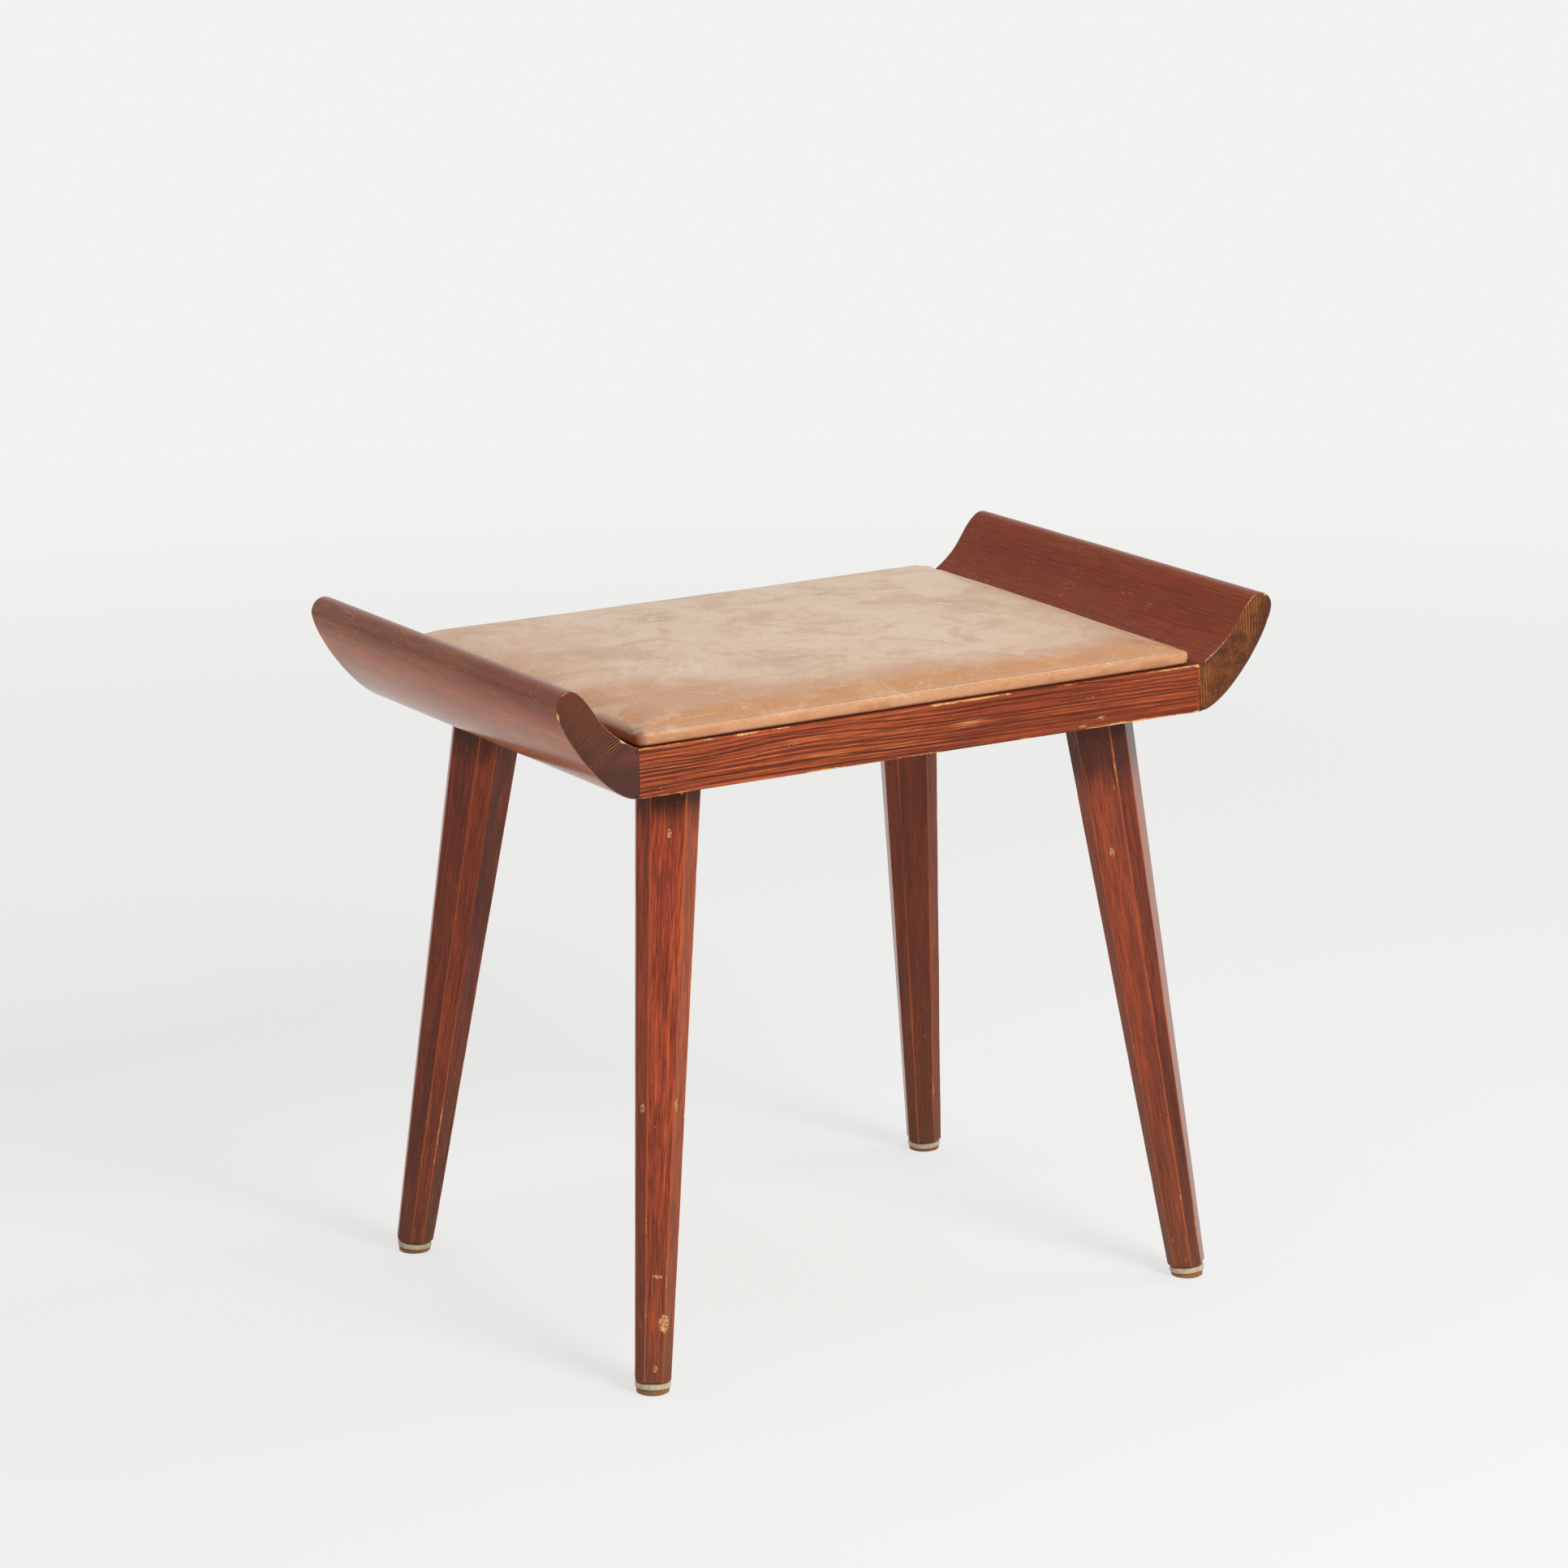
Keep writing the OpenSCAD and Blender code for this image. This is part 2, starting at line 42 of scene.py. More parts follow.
RAIL_H, RAIL_T = 33.0, 24.0
RAIL_TOP = FRAME_UNDER + RAIL_H
WING_REACH, WING_RISE, TIP_R, WING_LIFT = 59.3, 43.7, 9.8, 28.0
INNER_HANDLES, OUTER_HANDLES = (0.625, 0.34), (0.206, 0.253)
TIP_START, TIP_END = 130.0, -8.0
TOP_X, TOP_Y = FRAME_L / 2 - 50.0, FRAME_D / 2 - 50.5
FOOT_OUT_X, FOOT_OUT_Y = 45.5, 47.0
FOOT_H, SOLE_TILT = 8.1, 5.0
# A leg's widths over its broad faces and over its corner faces
LEG_SIDES, LEG_TOP_W, LEG_TOP_C, LEG_FOOT_W, LEG_FOOT_C = 8, 42.6, 47.2, 24.0, 25.4
# How arrises are rounded, and how far the waves of a worn face reach and lie below the CAD's face
RAIL_ROUND, RAIL_WORN = 0.8, 0.12
WING_ROUND, WING_FOOT_ROUND, WING_WAVE, WING_WORN = 0.75, 0.6, 0.14, 0.04
LEG_FOOT_ROUND, LEG_TOP_ROUND, SOLE_ROUND, LEG_WORN, LEG_CHIP = 0.9, 1.0, 1.5, 0.16, 0.35
# A rail stops this far short of each wing
RAIL_GAP = 0.12
GLIDE_R, GLIDE_NECK, GLIDE_LOW, GLIDE_HIGH, GLIDE_ROUND, FELT_R = 11.75, 10.25, -4.9, -0.9, 0.9, 10.75
PAD_X, PAD_Y = FRAME_L / 2 - 4.5, FRAME_D / 2 - 5.0
PAD_ROLL, PAD_DRAW = 3.8, 0.8
PAD_R = {(-1, -1): 4.8, (1, -1): 8.0, (-1, 1): 8.0, (1, 1): 12.0}
PAD_LEFT_OUT, PAD_RIGHT_OUT = 3.6, 1.5
# How far the cover comes forward at its left and right ends
FRONT_OUT = (2.6, 1.0)
PAD_EDGE_H, PAD_CROWN, PAD_WRAP = 11.9, 4.5, 32.0
PAD_EDGE = RAIL_TOP + PAD_EDGE_H
# The swelling of the cloth adds about this much to the crown
PAD_SWELL = 1.2
# The turned edge lies this far above the rails
PAD_GAP = 0.05
FRONT_DROP = [(-217.0, 2.6), (-150.0, 2.4), (-33.0, 2.0), (53.0, 1.4), (162.0, 1.8), (217.0, 2.2)]
LEFT_DROP, RIGHT_DROP, LEATHER_T, BOARD_TOP = 2.7, 2.7, 1.4, RAIL_TOP + 7.2
CLOTH_FRAMES, CLOTH_CAP = 20, 2.2


def heading(angle):
    """A unit vector at an angle in degrees."""
    return Vector((math.cos(math.radians(angle)), math.sin(math.radians(angle))))


def closeness(distance, reach=3.0):
    """How close a point is to an arris, from 1 on it to 0 beyond reach."""
    return max(0.0, 1 - distance / reach)


def smooth(share):
    share = max(0.0, min(1.0, share))
    return share * share * (3 - 2 * share)


def rough(place, scale, seed=0.0):
    """Smooth noise from -1 to 1 at a millimetre place."""
    return noise.noise(Vector(place) * scale + Vector((seed, seed * 1.7, seed * 0.6)))


# Meshes

def make_mesh(name, verts, faces, layers, body="root"):
    """A smooth mesh object from millimetre points, with float or vector layers by vertex."""
    mesh = bpy.data.meshes.new(name)
    mesh.from_pydata([Vector(v) * MM for v in verts], [], faces)
    mesh.validate()
    for key, values in layers.items():
        vector = isinstance(values[0], (tuple, Vector))
        layer = mesh.attributes.new(key, "FLOAT_VECTOR" if vector else "FLOAT", "POINT")
        flat = [c for v in values for c in v] if vector else values
        layer.data.foreach_set("vector" if vector else "value", flat)
    mesh.polygons.foreach_set("use_smooth", [True] * len(mesh.polygons))
    mesh.update()
    piece = bpy.data.objects.new(name, mesh)
    bpy.context.scene.collection.objects.link(piece)
    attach(piece, body)
    return piece


def tube_faces(rings, n, flip=False):
    """Faces between rings of n points each, with the first and last ring closed."""
    faces = []
    for r in range(rings - 1):
        for i in range(n):
            a, b = r * n + i, r * n + (i + 1) % n
            faces.append((a, b, b + n, a + n))
    faces.append(tuple(reversed(range(n))))
    faces.append(tuple(range((rings - 1) * n, rings * n)))
    return [tuple(reversed(f)) for f in faces] if flip else faces


def add_ring(verts, faces, before, points):
    """Joins a closed ring of new points to the ring before it, and returns the new ring."""
    n = len(points)
    ring = list(range(len(verts), len(verts) + n))
    verts += points
    faces += [(before[k], ring[k], ring[(k + 1) % n], before[(k + 1) % n]) for k in range(n)]
    return ring


def quarter(radius, angles):
    """A rounded end as (inset, distance) pairs, from the end's face to the side."""
    turns = [math.radians(a) for a in angles]
    return [(radius * (1 - math.sin(a)), radius * (1 - math.cos(a))) for a in turns]


def stations_along(ends, length, margin, parts):
    """(Inset, distance) pairs along a piece, the same at both ends and even between them."""
    inside = [margin + (length - 2 * margin) * k / parts for k in range(parts + 1)]
    return ends + [(0.0, d) for d in inside] + [(inset, length - d) for inset, d in reversed(ends)]


class Rim:
    """One point of an outline: place, outward normal, mitre, arc radius, closeness to a corner and facet."""

    def __init__(self, place, normal, mitre=None, reach=None, edge=0.0, tone=0.0):
        self.place, self.normal, self.edge, self.tone = place, normal, edge, tone
        self.mitre, self.reach = mitre or normal, reach

    def inset(self, d):
        if self.reach is None or d <= self.reach:
            return self.place - self.normal * d
        return self.place - self.normal * self.reach - self.mitre * (d - self.reach)


def fillet(before, at, after, radius, steps, tones=(0.0, 0.0)):
    """The points that round off one corner of an anticlockwise outline, and the length they take."""
    d0, d1 = (at - before).normalized(), (after - at).normalized()
    n0, n1 = Vector((d0.y, -d0.x)), Vector((d1.y, -d1.x))
    half = d0.angle(d1) / 2
    mitre = (n0 + n1).normalized() / math.cos(half)
    centre = at - mitre * radius
    rims = []
    for k in range(steps + 1):
        share = k / steps
        normal = (n0 * math.sin((1 - share) * 2 * half) + n1 * math.sin(share * 2 * half)).normalized()
        tone = tones[0] * (1 - share) + tones[1] * share
        rims.append(Rim(centre + normal * radius, normal, mitre, radius, 1.0, tone))
    return rims, radius * math.tan(half)


def outline(corners, radius, loops=(1.2, 3.0), middles=1, tones=None):
    """An outline with rounded corners, and points along its sides that hold the rounding."""
    n = len(corners)
    tones = tones or [0.0] * n
    arcs = [
        fillet(corners[i - 1], corners[i], corners[(i + 1) % n], radius, 3, (tones[i - 1], tones[i]))
        for i in range(n)
    ]
    rims = []
    for i in range(n):
        arc, cut = arcs[i]
        at, after = corners[i], corners[(i + 1) % n]
        way = (after - at).normalized()
        start, end = cut, (after - at).length - arcs[(i + 1) % n][1]
        rims += arc
        near = [start + d for d in loops]
        far = [end - d for d in reversed(loops)]
        inner = [near[-1] + (far[0] - near[-1]) * (k + 1) / (middles + 1) for k in range(middles)]
        for d in near + inner + far:
            edge = closeness(min(d - start, end - d))
            rims.append(Rim(at + way * d, Vector((way.y, -way.x)), edge=edge, tone=tones[i]))
    return rims


# Rails

def build_rail(name, face):
    """A rail with rounded long edges, worn a little unevenly."""
    back, top = RAIL_T / 2, RAIL_H / 2
    corners = [Vector(c) for c in ((-back, -top), (back, -top), (back, top), (-back, top))]
    rims = outline(corners, RAIL_ROUND, middles=3)
    half = FRAME_L / 2 - RAIL_GAP
    ends = [(0.3, 0.0), (0.1, 0.1), (0.0, 0.35), (0.0, 1.3), (0.0, 3.0)]
    stations = stations_along(ends, 2 * half, 8.0, 54)
    verts, grain, edge = [], [], []
    for inset, d in stations:
        end = min(d, 2 * half - d)
        end_wear = 1.0 if d > half else 0.55
        for rim in rims:
            p = rim.inset(inset)
            x, y, z = d - half, p.x + face * (FRAME_D - RAIL_T) / 2, p.y + FRAME_UNDER + top
            wave = RAIL_WORN * rough((x, y, z), 0.02, 3.0) if end > 6 else 0.0
            out = rim.normal * (wave - RAIL_WORN)
            verts.append((x, y + out.x, z + out.y))
            grain.append((x, p.y, p.x * face))
            edge.append(max(rim.edge, end_wear * closeness(end, 2.4)))
    faces = tube_faces(len(stations), len(rims))
    piece = make_mesh(name + "_wood", verts, faces, {"grain": grain, "edge": edge})
    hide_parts(name)
    return piece


# Wings

def bezier(p, t):
    s = 1 - t
    return p[0] * s ** 3 + p[1] * 3 * t * s ** 2 + p[2] * 3 * t ** 2 * s + p[3] * t ** 3


def wing_rims():
    """The end outline, anticlockwise from the joint's foot, in distance out from the joint and height."""
    tip = Vector((WING_REACH - TIP_R, RAIL_H + WING_RISE - TIP_R))
    tip_from, tip_to = tip + TIP_R * heading(TIP_START), tip + TIP_R * heading(TIP_END)
    top, foot = Vector((0.0, RAIL_H)), Vector((0.0, 0.0))
    inner_chord, outer_chord = (tip_from - top).length, (tip_to - foot).length
    inner = [
        top,
        top + heading(WING_LIFT) * inner_chord * INNER_HANDLES[0],
        tip_from - heading(TIP_START - 90) * inner_chord * INNER_HANDLES[1],
        tip_from,
    ]
    outer = [
        tip_to,
        tip_to + heading(TIP_END - 90) * outer_chord * OUTER_HANDLES[0],
        foot + Vector((outer_chord * OUTER_HANDLES[1], 0.0)),
        foot,
    ]
    up = [bezier(outer, 1 - k / 22) for k in range(2, 22)]
    turn = [tip + TIP_R * heading(TIP_END + (TIP_START - TIP_END) * k / 20) for k in range(21)]
    down = [bezier(inner, 1 - k / 20) for k in range(1, 20)]
    whole = [foot] + up + turn + down + [top]
    rims = fillet(top, foot, whole[1], WING_FOOT_ROUND, 3)[0]
    for i in range(1, len(whole) - 1):
        way = (whole[i + 1] - whole[i - 1]).normalized()
        near = min((whole[i] - foot).length, (whole[i] - top).length)
        rims.append(Rim(whole[i], Vector((way.y, -way.x)), edge=closeness(near, 2.0)))
    rims += fillet(whole[-2], top, foot, WING_FOOT_ROUND, 3)[0]
    for rim in rims:
        rim.tone = 1.0 if rim.place.x > 0.7 else 0.0
    for z in (28.0, 20.0, 12.0, 5.0):
        rims.append(Rim(Vector((0.0, z)), Vector((-1.0, 0.0))))
    return rims


def build_wing(name, side):
    """A wing with softened edges round both ends; the ends' own wear makes the edge uneven."""
    rims = wing_rims()
    half = FRAME_D / 2
    ends = [(3.2, 0.0), (1.7, 0.0)] + quarter(WING_ROUND, (0, 30, 60, 90)) + [(0.0, 1.8), (0.0, 3.4)]
    stations = stations_along(ends, 2 * half, 9.0, 42)
    verts, grain, edge, cap = [], [], [], []
    for inset, d in stations:
        end = min(d, 2 * half - d)
        for rim in rims:
            y = d - half
            worn = 1.0
            if end < 1.0 and inset < 1.0:
                at = (rim.place.x, math.copysign(40.0, y), rim.place.y)
                worn = 1 + 0.3 * rough(at, 0.16, 5.0 + side)
            p = rim.inset(inset * worn)
            y = math.copysign(half - (end if end > 1.0 else end * worn), y)
            wave = 0.0 if end < 6 else WING_WAVE * rough((side * 300 + p.x, y, p.y), 0.018, 9.0)
            q = p + rim.normal * (wave - WING_WORN)
            verts.append((side * (FRAME_L / 2 + q.x), y, FRAME_UNDER + q.y))
            grain.append((y, p.x, p.y))
            edge.append(rim.tone * max(rim.edge if inset == 0.0 else 0.0, closeness(inset + end, 3.4)))
            cap.append(1.0 if inset > 0.3 else 0.0)
    faces = tube_faces(len(stations), len(rims), flip=side > 0)
    piece = make_mesh(name + "_wood", verts, faces, {"grain": grain, "edge": edge, "cap": cap})
    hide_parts(name)
    return piece


# Legs

def splay_matrix(side, face, tilt):
    """The place of a foot, leaning by tilt towards the leg's splay."""
    way = math.atan2(face * FOOT_OUT_Y, side * FOOT_OUT_X)
    place = Matrix.Translation((side * (TOP_X + FOOT_OUT_X), face * (TOP_Y + FOOT_OUT_Y), FOOT_H))
    return place @ Matrix.Rotation(way, 4, "Z") @ Matrix.Rotation(-tilt, 4, "Y")


def sole_matrix(side, face):
    return splay_matrix(side, face, math.radians(SOLE_TILT))


def leg_matrix(side, face):
    way = math.atan2(face * FOOT_OUT_Y, side * FOOT_OUT_X)
    lean = math.atan2(math.hypot(FOOT_OUT_X, FOOT_OUT_Y), FRAME_UNDER - FOOT_H)
    return splay_matrix(side, face, lean) @ Matrix.Rotation(-way, 4, "Z")


def octagon(w, c, turn):
    """Corners of the eight-sided section, anticlockwise."""
    corners, pitch = [], 360 / LEG_SIDES
    for k in range(LEG_SIDES):
        near, far = (w / 2, c / 2) if k % 2 == 0 else (c / 2, w / 2)
        across = (far - near * math.cos(math.radians(pitch))) / math.sin(math.radians(pitch))
        way = turn + pitch * k
        corners.append(heading(way) * near + heading(way + 90) * across)
    return corners


def build_leg(name, side, face, turn, tones):
    """A tapered eight-sided leg, its arrises softened and its foot rounded over."""
    run = math.hypot(FOOT_OUT_X, FOOT_OUT_Y, FRAME_UNDER - FOOT_H)
    place, sole = leg_matrix(side, face), sole_matrix(side, face)
    sole_up, sole_at = sole.to_3x3() @ Vector((0, 0, 1)), sole.translation
    tones = [Vector(t) for t in tones]
    low = outline(octagon(LEG_FOOT_W, LEG_FOOT_C, turn), LEG_FOOT_ROUND, loops=(1.1, 2.6), tones=tones)
    high = outline(octagon(LEG_TOP_W, LEG_TOP_C, turn), LEG_TOP_ROUND, loops=(1.3, 3.0), tones=tones)
    spans = []
    for a, b in zip(low, high):
        foot = place @ Vector((a.place.x, a.place.y, 0.0))
        top = place @ Vector((b.place.x, b.place.y, run))
        start = (sole_at - foot).dot(sole_up) / (top - foot).dot(sole_up)
        spans.append((start, (FRAME_UNDER - foot.z) / (top.z - foot.z)))
    stations = quarter(SOLE_ROUND, (0, 22, 45, 67, 90)) + [(0.0, d) for d in (2.4, 4.0, 7.0)]
    stations += [(0.0, 7.0 + (run - 14.0) * k / 48) for k in range(1, 49)] + [(0.0, run - 2.0), (0.0, run)]
    verts, grain, edge, tone, height = [], [], [], [], []
    for inset, d in stations:
        for a, b, (start, end) in zip(low, high, spans):
            t = start + (end - start) * d / run
            p = a.inset(inset) * (1 - t) + b.place * t
            if inset:
                p -= a.normal * 0.05
            wave = LEG_WORN * rough((p.x, p.y, t * run * 0.35), 0.05, 11.0 + side + 3 * face)
            chipped = rough((p.x * 0.3, p.y * 0.3, t * run), 0.11, 21.0 + side * 2 + face) - 0.25
            p = p + a.normal * (wave - LEG_WORN - LEG_CHIP * a.edge * max(0.0, chipped))
            verts.append(place @ Vector((p.x, p.y, t * run)))
            grain.append((t * run, p.x, p.y))
            edge.append(max(a.edge, closeness(d)))
            # Each facet's tone: its plain share, its painted shade and its painted sheen
            tone.append(Vector(a.tone))
            height.append(t)
    layers = {"grain": grain, "edge": edge, "tone": tone, "height": height}
    piece = make_mesh(name + "_wood", verts, tube_faces(len(stations), len(low)), layers)
    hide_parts(name)
    return piece


# Feet

def build_glide(name, side, face):
    """A turned disc with a thin neck, from (radius, height) points below the leg's sole."""
    place = sole_matrix(side, face)
    inner, low, high = GLIDE_R - GLIDE_ROUND, GLIDE_LOW + GLIDE_ROUND, GLIDE_HIGH - GLIDE_ROUND
    ways = [GLIDE_ROUND * heading(a) for a in (0, 30, 60, 90)]
    profile = [(6.0, GLIDE_LOW), (9.5, GLIDE_LOW)]
    profile += [(inner + way.y, low - way.x) for way in ways]
    profile += [(GLIDE_R, (GLIDE_LOW + GLIDE_HIGH) / 2)]
    profile += [(inner + way.x, high + way.y) for way in ways]
    profile += [(GLIDE_NECK + 0.15, GLIDE_HIGH), (GLIDE_NECK, GLIDE_HIGH + 0.15)]
    profile += [(GLIDE_NECK - 0.1, -0.03), (6.0, -0.03)]
    count, verts, height = 72, [], []
    for r, h in profile:
        for k in range(count):
            a = 2 * math.pi * k / count
            at = (math.cos(a) * 9, math.sin(a) * 9, h * 2)
            uneven_r = r * (1 + 0.004 * rough(at, 0.35, side + face * 2))
            verts.append(place @ Vector((uneven_r * math.cos(a), uneven_r * math.sin(a), h)))
            height.append(h)
    piece = make_mesh(name + "_disc", verts, tube_faces(len(profile), count), {"height": height})
    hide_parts(name)
    return piece


def build_felt(name, side, face):
    """A felt disc, glued square to the glide and worn level by the floor."""
    place = sole_matrix(side, face)
    count, layers, verts, height = 96, 9, [], []
    rings = [(0.0, 0.55), (0.0, 0.85)] + [(k / layers, 1.0) for k in range(1, layers)]
    rings += [(1.0, 0.93), (1.0, 0.5)]
    for share, width in rings:
        for k in range(count):
            a = 2 * math.pi * k / count
            way = Vector((math.cos(a), math.sin(a)))
            at = (way.x * 10, way.y * 10, share * 3)
            fuzz = 0.02 * rough(at, 0.8, side * 5 + face) + 0.012 * rough(at, 3.0, side * 7 + face)
            bulge = 1 + 0.02 * math.sin(math.pi * share)
            r = FELT_R * width * (bulge + (fuzz if width > 0.9 else 0.0))
            top = place @ Vector((r * way.x, r * way.y, GLIDE_LOW - 0.02))
            verts.append(top.lerp(Vector((top.x, top.y, 0.0)), share))
            height.append(share)
    piece = make_mesh(name + "_disc", verts, tube_faces(len(rings), count, flip=True), {"height": height})
    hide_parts(name)
    return piece


# Seat pad

def spread(half, fine=(0.0, 1.2, 2.6, 4.2, 6.0, 8.5, 12.0, 16.5, 21.5, 26.5), pitch=4.6):
    """Places across the pad, close together near its sides."""
    count = max(2, round(2 * (half - fine[-1]) / pitch))
    inner = [fine[-1] + 2 * (half - fine[-1]) * k / count for k in range(count + 1)]
    places = list(fine[:-1]) + inner + [2 * half - d for d in reversed(fine[:-1])]
    return [d - half for d in places]


def rounded(x, y, hx, hy):
    """Carries a point of a square-cornered plan to the plan with round corners, and its outward normal."""
    d = min(hx - abs(x), hy - abs(y))
    sx, sy = math.copysign(1, x), math.copysign(1, y)
    r = (PAD_R[sx, sy] - PAD_ROLL) * max(0.0, 1 - d / 16.0)
    cx, cy = hx - d - r, hy - d - r
    if hx - abs(x) <= hy - abs(y):
        if abs(y) <= cy or r <= 0:
            return x, y, (sx, 0.0)
        angle = 45 * (abs(y) - cy) / r
    else:
        if abs(x) <= cx or r <= 0:
            return x, y, (0.0, sy)
        angle = 90 - 45 * (abs(x) - cx) / r
    h = heading(min(90.0, max(0.0, angle)))
    return sx * (cx + r * h.x), sy * (cy + r * h.y), (sx * h.x, sy * h.y)


HALF_X, HALF_Y = PAD_X - PAD_ROLL, PAD_Y - PAD_ROLL


def pad_top():
    """The pad's crowned top inside its rolled edge: points, their normals in plan, faces and border."""
    xs, ys = spread(HALF_X), spread(HALF_Y)
    nx, ny = len(xs), len(ys)
    points, normals = [], []
    for y in ys:
        for x in xs:
            px, py, normal = rounded(x, y, HALF_X, HALF_Y)
            crown = max(0.0, 1 - (px / HALF_X) ** 2) * max(0.0, 1 - (py / HALF_Y) ** 2)
            points.append((px, py, PAD_EDGE + (PAD_CROWN - PAD_SWELL) * crown))
            normals.append(normal)
    faces = [
        (j * nx + i, j * nx + i + 1, (j + 1) * nx + i + 1, (j + 1) * nx + i)
        for j in range(ny - 1) for i in range(nx - 1)
    ]
    border = list(range(nx)) + [j * nx + nx - 1 for j in range(1, ny)]
    border += [(ny - 1) * nx + i for i in range(nx - 2, -1, -1)] + [j * nx for j in range(ny - 2, 0, -1)]
    return points, normals, faces, border


def build_pad():
    """The leather-covered pad: a crowned form that is inflated as cloth, drawn tight at its corners."""
    verts, normals, faces, border = pad_top()
    # How far out each ring of the edge lies, its height and how firmly it is held
    rings = []
    for a in (75, 60, 45, 30, 15, 0):
        g = math.radians(a)
        rings.append((PAD_ROLL * math.cos(g), PAD_EDGE - PAD_ROLL * (1 - math.sin(g)), 0.3))
    for share in (0.3, 0.6, 0.85):
        out, down = PAD_ROLL - PAD_DRAW * share ** 1.5, (PAD_EDGE_H - PAD_ROLL) * share
        rings.append((out, PAD_EDGE - PAD_ROLL - down, 0.8))
    rings.append((PAD_ROLL - PAD_DRAW - 0.25, RAIL_TOP + 0.35, 1.0))
    wrap = PAD_ROLL - PAD_WRAP
    rings += [(out, RAIL_TOP + PAD_GAP, 1.0) for out in (PAD_ROLL - PAD_DRAW - 1.0, -6.0, -15.0, wrap)]
    rings += [(wrap, RAIL_TOP + 1.1, 1.0), (wrap - 1, RAIL_TOP + 3.0, 1.0)]
    held, before = [0.0] * len(verts), border
    edge = [(verts[v], normals[v]) for v in border]
    for out, z, hold in rings:
        if out > 0:
            ring = [(x + normal[0] * out, y + normal[1] * out, z) for (x, y, _), normal in edge]
        else:
            ring = [(x * (1 + out / HALF_X), y * (1 + out / HALF_Y), z) for (x, y, _), _ in edge]
        before = add_ring(verts, faces, before, ring)
        held += [hold] * len(ring)
    faces.append(tuple(before))
    rest = [Vector(drawn_out(*v)) for v in verts]
    piece = make_mesh("seat_cover_leather", rest, faces, {"held": held})
    if piece.data.polygons[0].normal.z < 0:
        piece.data.flip_normals()
    inflate(piece, held, rest)
    for v, (x, y, z) in zip(piece.data.vertices, rest):
        if z > RAIL_TOP + 3:
            v.co.z += (uneven(x, y) - lowered(x, y) * min(1.0, (z - RAIL_TOP) / PAD_EDGE_H)) * MM
    piece.data.update()
    fine = piece.modifiers.new("fine", "SUBSURF")
    fine.levels = fine.render_levels = 1
    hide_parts("seat_cover")
    return piece


def inflate(piece, held, rest):
    """Lets the leather swell over its foam, then caps how far any point has moved."""
    group = piece.vertex_groups.new(name="held")
    for i, h in enumerate(held):
        group.add([i], h, "REPLACE")
    cloth = piece.modifiers.new("cloth", "CLOTH")
    s = cloth.settings
    s.quality = 6
    s.mass = 0.4
    s.tension_stiffness = s.compression_stiffness = 30
    s.shear_stiffness = 12
    s.bending_stiffness = 2.0
    s.use_pressure = True
    s.uniform_pressure_force = 4
    s.vertex_group_mass = "held"
    s.effector_weights.gravity = 0
    cloth.collision_settings.use_collision = False
    cloth.collision_settings.use_self_collision = False
    cloth.point_cache.frame_start, cloth.point_cache.frame_end = 1, CLOTH_FRAMES
    scene = bpy.context.scene
    for f in range(1, CLOTH_FRAMES + 1):
        scene.frame_set(f)
    graph = bpy.context.evaluated_depsgraph_get()
    moved = [v.co.copy() for v in piece.evaluated_get(graph).data.vertices]
    piece.modifiers.remove(cloth)
    cap = CLOTH_CAP * MM
    for v, new, old in zip(piece.data.vertices, moved, rest):
        home = old * MM
        step = new - home
        if step.length > cap:
            step = step.normalized() * cap
        v.co = home + step
    piece.vertex_groups.remove(group)
    scene.frame_set(1)


def drawn_out(x, y, z):
    """A point of the cover, moved towards the wings and the front as the cover is drawn."""
    out = FRONT_OUT[0] + (FRONT_OUT[1] - FRONT_OUT[0]) * (x + PAD_X) / (2 * PAD_X)
    side_out = PAD_LEFT_OUT if x < 0 else PAD_RIGHT_OUT
    return (x * (1 + side_out / PAD_X), y * (1 + out / PAD_Y) if y < 0 else y, z)


def front_drop(x):
    """How far the front edge of the pad is pressed down, along its length."""
    for (x0, d0), (x1, d1) in zip(FRONT_DROP, FRONT_DROP[1:]):
        if x <= x1:
            return d0 + (d1 - d0) * max(0.0, (x - x0) / (x1 - x0))
    return d1


def lowered(x, y):
    """How far the top is pressed down: along its front, at the left wing and at the right front."""
    front = front_drop(x) * smooth(1 - (PAD_Y + y) / 26.0)
    left = LEFT_DROP * smooth(1 - (PAD_X + x) / 34.0)
    right = RIGHT_DROP * smooth(1 - (PAD_X - x) / 44.0) * smooth(1 - (PAD_Y + y) / 240.0)
    return max(front, left, right)


def uneven(x, y):
    """Small unevenness of the foam and of the rolled edge."""
    side = min(PAD_X - abs(x), PAD_Y - abs(y))
    level = 0.35 * rough((x, y, 0.0), 0.012, 31.0) + 0.12 * rough((x, y, 0.0), 0.05, 37.0)
    return level + 0.22 * rough((x, y, 0.0), 0.026, 41.0) * closeness(side, 14.0)


def build_foam():
    """The foam: flat on its board, and under the leather all over."""
    top, normals, faces, border = pad_top()
    verts = [(x, y, z - LEATHER_T + uneven(x, y) - lowered(x, y)) for x, y, z in top]
    edge, before = [(verts[v], normals[v]) for v in border], border
    reach = PAD_ROLL - LEATHER_T
    for a in (60, 30, 0):
        out, down = reach * math.cos(math.radians(a)), reach * (1 - math.sin(math.radians(a)))
        # Each ring stops a little higher than the next above the board
        least = BOARD_TOP + 0.05 + 0.002 * a
        ring = [(x + n[0] * out, y + n[1] * out, max(z - down, least)) for (x, y, z), n in edge]
        before = add_ring(verts, faces, before, ring)
    faces.append(tuple(before))
    piece = make_mesh("seat_foam_block", verts, faces, {"height": [v[2] for v in verts]})
    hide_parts("seat_foam")
    return piece


# Materials

def rgb(r, g, b):
    """Linear colour from a screen colour of 0 to 255."""
    def lin(c):
        c /= 255
        return c / 12.92 if c <= 0.04045 else ((c + 0.055) / 1.055) ** 2.4
    return (lin(r), lin(g), lin(b), 1)


